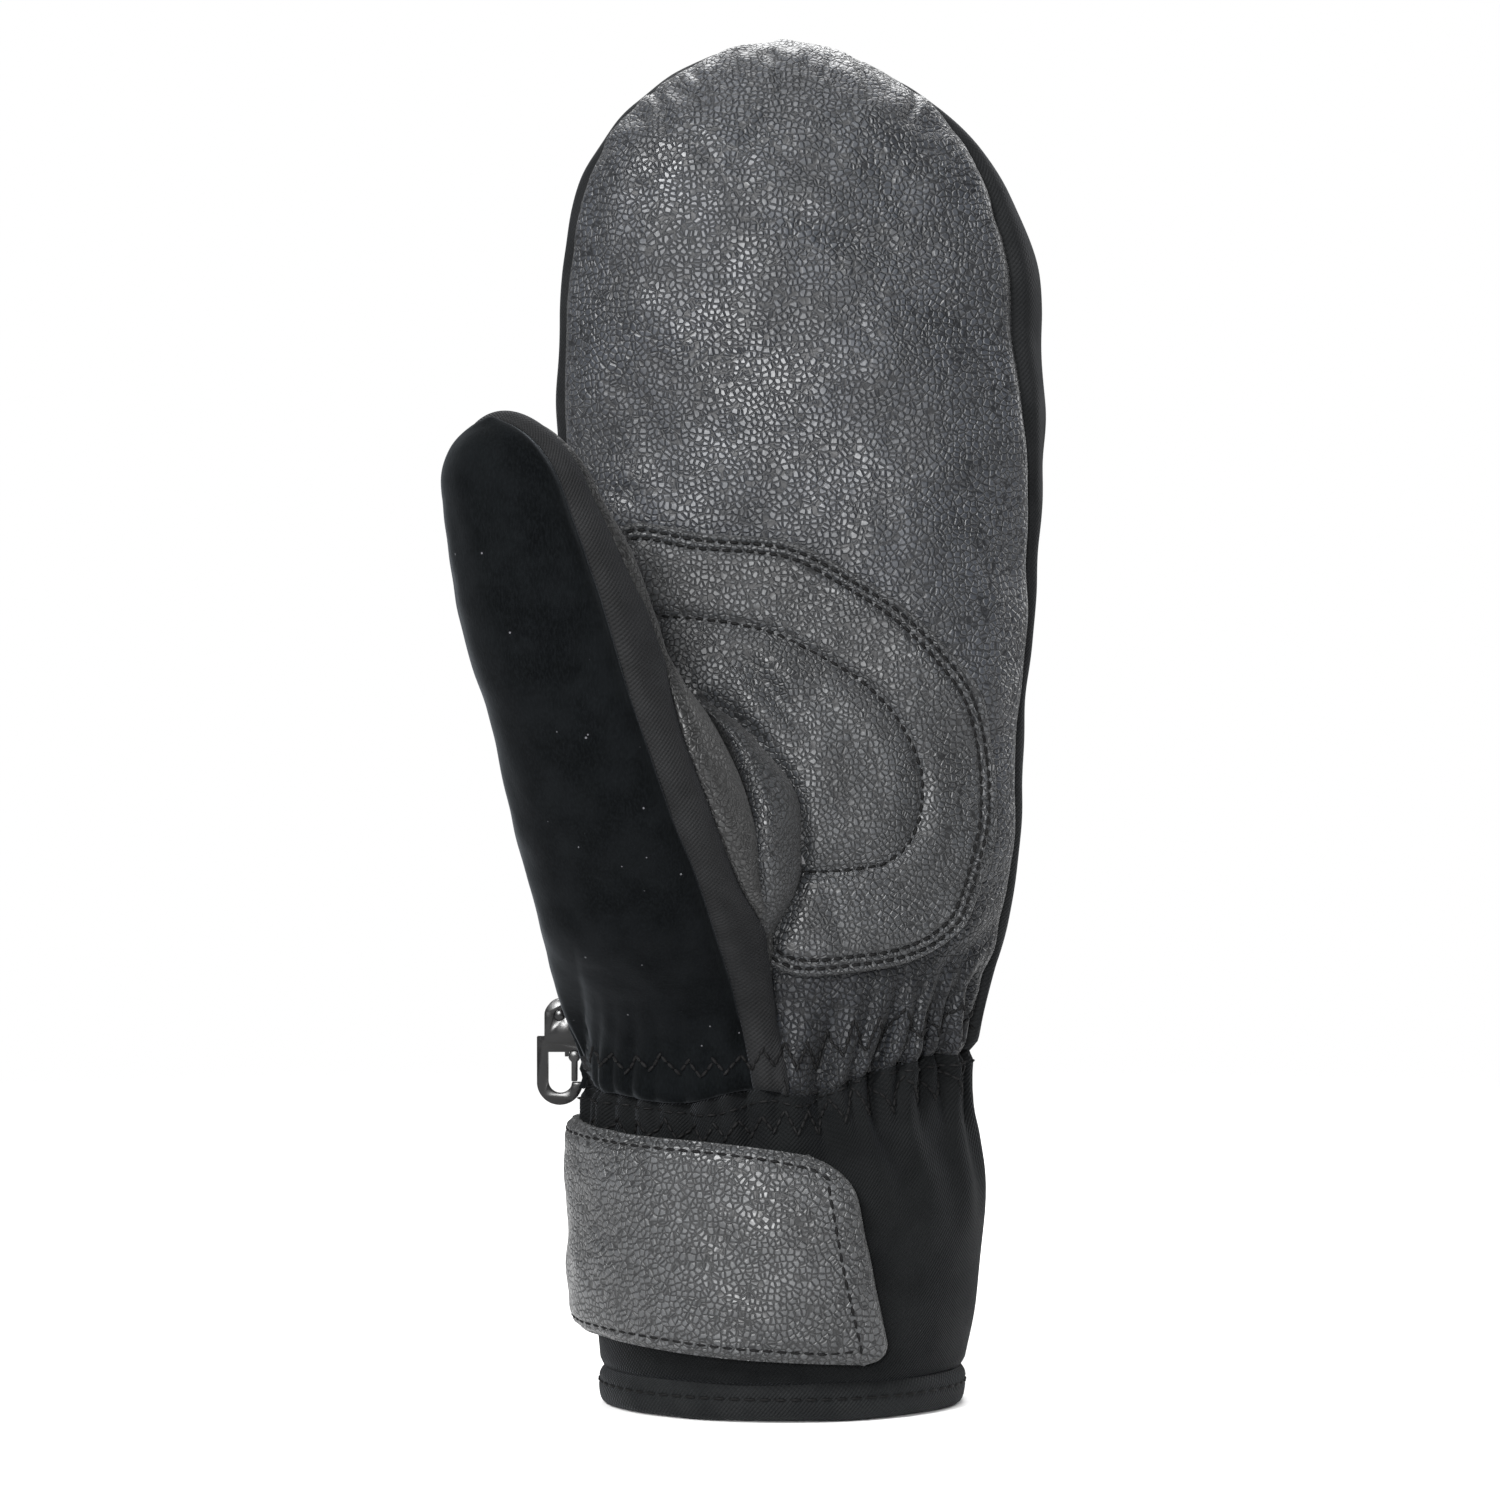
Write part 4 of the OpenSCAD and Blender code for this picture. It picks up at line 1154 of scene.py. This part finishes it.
def build_clip():
    """The glove clip: softened copies of the frame's hook, gate, pin and webbing."""
    for node, body, finish, slot in (
        ("clip_webbing", "hand", "webbing", "webbing"),
        ("clip_pin", "clip", "plastic", "clip_plastic"),
        ("clip_hook", "clip", "plastic", "clip_plastic"),
        ("clip_gate", "gate", "gate", "clip_plastic"),
    ):
        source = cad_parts[node]
        mesh = source.data.copy()
        mesh.transform(source.matrix_world)
        shape = bmesh.new()
        shape.from_mesh(mesh)
        bmesh.ops.remove_doubles(shape, verts=shape.verts[:], dist=1e-6)
        bmesh.ops.dissolve_limit(
            shape, angle_limit=math.radians(4), verts=shape.verts[:], edges=shape.edges[:]
        )
        turned = math.radians(40)
        sharp = [e for e in shape.edges if e.is_manifold and e.calc_face_angle(0) > turned]
        bmesh.ops.bevel(
            shape, geom=sharp, offset=0.22 * MM, affect="EDGES", segments=2, profile=0.5,
            material=-1, clamp_overlap=True,
        )
        bmesh.ops.recalc_face_normals(shape, faces=shape.faces[:])
        shape.to_mesh(mesh)
        shape.free()
        mesh.name = f"{node}_soft"
        copy = placed(f"{node}_soft", mesh)
        copy.data.set_sharp_from_angle(angle=math.radians(35))
        dressed(copy, finish, stands_for=(node,), body=body)


# ================ Stage ================


VIEW_CENTRE = (-0.0064, 0.130)  # the camera's x and z in metres
LENS, SENSOR = 96, 36  # in millimetres


def light_world(ambient):
    """A world that the camera sees as white, and that lights the mitten only softly."""
    world = bpy.context.scene.world or bpy.data.worlds.new("studio")
    bpy.context.scene.world = world
    world.use_nodes = True
    nodes, links = world.node_tree.nodes, world.node_tree.links
    nodes["Background"].inputs["Color"].default_value = (1, 1, 1, 1)
    strength = nodes.new("ShaderNodeMath")
    strength.operation = "MAXIMUM"
    strength.inputs[1].default_value = ambient
    links.new(nodes.new("ShaderNodeLightPath").outputs["Is Camera Ray"], strength.inputs[0])
    links.new(strength.outputs[0], nodes["Background"].inputs["Strength"])


def add_lamp(name, place, size, energy, aim):
    light = bpy.data.lights.new(name, "AREA")
    light.shape = "DISK"
    light.size = size
    light.energy = energy
    lamp = bpy.data.objects.new(name, light)
    lamp.location = place
    lamp.rotation_euler = (Vector(aim) - Vector(place)).to_track_quat("-Z", "Y").to_euler()
    bpy.context.scene.collection.objects.link(lamp)


def build_stage(stage):
    """A plain pale disc of paper, soft lights and the camera."""
    turn = np.radians(across(0, 360, 97))
    reach = np.array([1000, 700, 300, 0.001])[:, None]
    disc = lay_grid("paper_disc", np.stack(
        np.broadcast_arrays(reach * np.cos(turn), reach * np.sin(turn), -0.05), -1))
    disc.data.materials.append(finishes["stage"])
    bpy.context.scene.view_settings.view_transform = "Standard"
    light_world(stage.ambient)
    for lamp in (
        ("key", (-0.5, -0.7, 0.75), 0.35, stage.key * 0.75, (0, 0, 0.14)),
        ("top", (0.05, -0.42, 1.0), 0.4, stage.key * 0.2, (0, 0, 0.16)),
        ("front", (-0.16, -1.2, 0.3), 0.3, stage.key * 0.85, (0, 0, 0.12)),
        ("rim", (0.8, 0.5, 0.5), 0.6, stage.key * 0.3, (0, 0, 0.14)),
        ("floor", (0.0, 0.55, 0.9), 0.6, stage.floor, (0, 0.4, 0)),
    ):
        add_lamp(*lamp)
    camera = bpy.data.cameras.new("camera")
    camera.lens = LENS
    camera.sensor_width = SENSOR
    eye = bpy.data.objects.new("camera", camera)
    eye.location = (VIEW_CENTRE[0], -stage.distance, VIEW_CENTRE[1])
    eye.rotation_euler = (math.pi / 2, 0, 0)
    bpy.context.scene.collection.objects.link(eye)
    bpy.context.scene.camera = eye


# ================ Add-on ================


class MittenShape(bpy.types.PropertyGroup):
    pleats: bpy.props.FloatProperty(
        name="Tip pleats", description="Strength of the pleats along the tip seam",
        default=1.0, min=0, max=2,
    )
    folds: bpy.props.FloatProperty(
        name="Folds", description="Strength of the soft folds in the shells",
        default=1.0, min=0, max=2,
    )
    gathers: bpy.props.FloatProperty(
        name="Gathers", description="Strength of the wrist gathers", default=1.0, min=0, max=2
    )


class MittenStage(bpy.types.PropertyGroup):
    key: bpy.props.FloatProperty(
        name="Key light", description="Power of the main light", default=20.0, min=0, unit="POWER"
    )
    floor: bpy.props.FloatProperty(
        name="Floor light", description="Power of the light behind, on the floor",
        default=12.0, min=0, unit="POWER",
    )
    ambient: bpy.props.FloatProperty(
        name="Ambient", description="Strength of the even light all round", default=0.12, min=0
    )
    distance: bpy.props.FloatProperty(
        name="Camera distance", description="From the middle of the mitten",
        default=0.8, unit="LENGTH",
    )


class Builder:
    bl_options = {"REGISTER", "UNDO"}

    def execute(self, context):
        self.build(context.scene)
        return {"FINISHED"}


class MITTEN_OT_finishes(Builder, bpy.types.Operator):
    """Make the materials"""

    bl_idname = "mitten.finishes"
    bl_label = "Finishes"

    def build(self, scene):
        make_finishes()


class MITTEN_OT_palm(Builder, bpy.types.Operator):
    """Build the palm leather"""

    bl_idname = "mitten.palm"
    bl_label = "Palm"

    def build(self, scene):
        build_palm(scene.mitten_shape)


class MITTEN_OT_back(Builder, bpy.types.Operator):
    """Build the softshell back"""

    bl_idname = "mitten.back"
    bl_label = "Back"

    def build(self, scene):
        build_back(scene.mitten_shape)


class MITTEN_OT_patch(Builder, bpy.types.Operator):
    """Build the palm patch, its stitch rows and the pad"""

    bl_idname = "mitten.patch"
    bl_label = "Palm patch"

    def build(self, scene):
        build_patch(scene.mitten_shape)
        build_pad()


class MITTEN_OT_thumb(Builder, bpy.types.Operator):
    """Build the thumb's panels and gusset"""

    bl_idname = "mitten.thumb"
    bl_label = "Thumb"

    def build(self, scene):
        build_thumb(scene.mitten_shape)
        build_gusset(scene.mitten_shape)


class MITTEN_OT_cuff(Builder, bpy.types.Operator):
    """Build the cuff, hem, lining and label"""

    bl_idname = "mitten.cuff"
    bl_label = "Cuff"

    def build(self, scene):
        build_cuff(scene.mitten_shape)


class MITTEN_OT_wrist(Builder, bpy.types.Operator):
    """Build the wrist elastics and their stitches"""

    bl_idname = "mitten.wrist"
    bl_label = "Wrist stitches"

    def build(self, scene):
        build_cuff_stitches()


class MITTEN_OT_strap(Builder, bpy.types.Operator):
    """Build the wrist strap and its tapes"""

    bl_idname = "mitten.strap"
    bl_label = "Strap"

    def build(self, scene):
        build_strap()


class MITTEN_OT_layers(Builder, bpy.types.Operator):
    """Build the layers inside"""

    bl_idname = "mitten.layers"
    bl_label = "Layers"

    def build(self, scene):
        build_layers()


class MITTEN_OT_clip(Builder, bpy.types.Operator):
    """Build the glove clip"""

    bl_idname = "mitten.clip"
    bl_label = "Clip"

    def build(self, scene):
        build_clip()


class MITTEN_OT_stage(Builder, bpy.types.Operator):
    """Build the sweep, lights and camera"""

    bl_idname = "mitten.stage"
    bl_label = "Stage"

    def build(self, scene):
        build_stage(scene.mitten_stage)


OPERATORS = (
    MITTEN_OT_finishes, MITTEN_OT_palm, MITTEN_OT_back, MITTEN_OT_patch, MITTEN_OT_thumb,
    MITTEN_OT_cuff, MITTEN_OT_wrist, MITTEN_OT_strap, MITTEN_OT_layers, MITTEN_OT_clip,
    MITTEN_OT_stage,
)


class MITTEN_PT_panel(bpy.types.Panel):
    """Settings and build steps of the mitten"""

    bl_idname = "MITTEN_PT_panel"
    bl_label = "Ski Mitten"
    bl_space_type = "VIEW_3D"
    bl_region_type = "UI"
    bl_category = "Mitten"

    def draw(self, context):
        column = self.layout.column()
        for group in (context.scene.mitten_shape, context.scene.mitten_stage):
            for name in group.__annotations__:
                column.prop(group, name)
        for operator in OPERATORS:
            column.operator(operator.bl_idname)


CLASSES = (MittenShape, MittenStage, *OPERATORS, MITTEN_PT_panel)


def register():
    for item in CLASSES:
        bpy.utils.register_class(item)
    bpy.types.Scene.mitten_shape = bpy.props.PointerProperty(type=MittenShape)
    bpy.types.Scene.mitten_stage = bpy.props.PointerProperty(type=MittenStage)


def unregister():
    del bpy.types.Scene.mitten_shape
    del bpy.types.Scene.mitten_stage
    for item in reversed(CLASSES):
        bpy.utils.unregister_class(item)


def main():
    register()
    for operator in OPERATORS:
        step = operator.bl_idname.split(".")[1]
        if getattr(bpy.ops.mitten, step)() != {"FINISHED"}:
            raise RuntimeError(f"{operator.bl_label} did not finish")


if __name__ == "__main__":
    main()
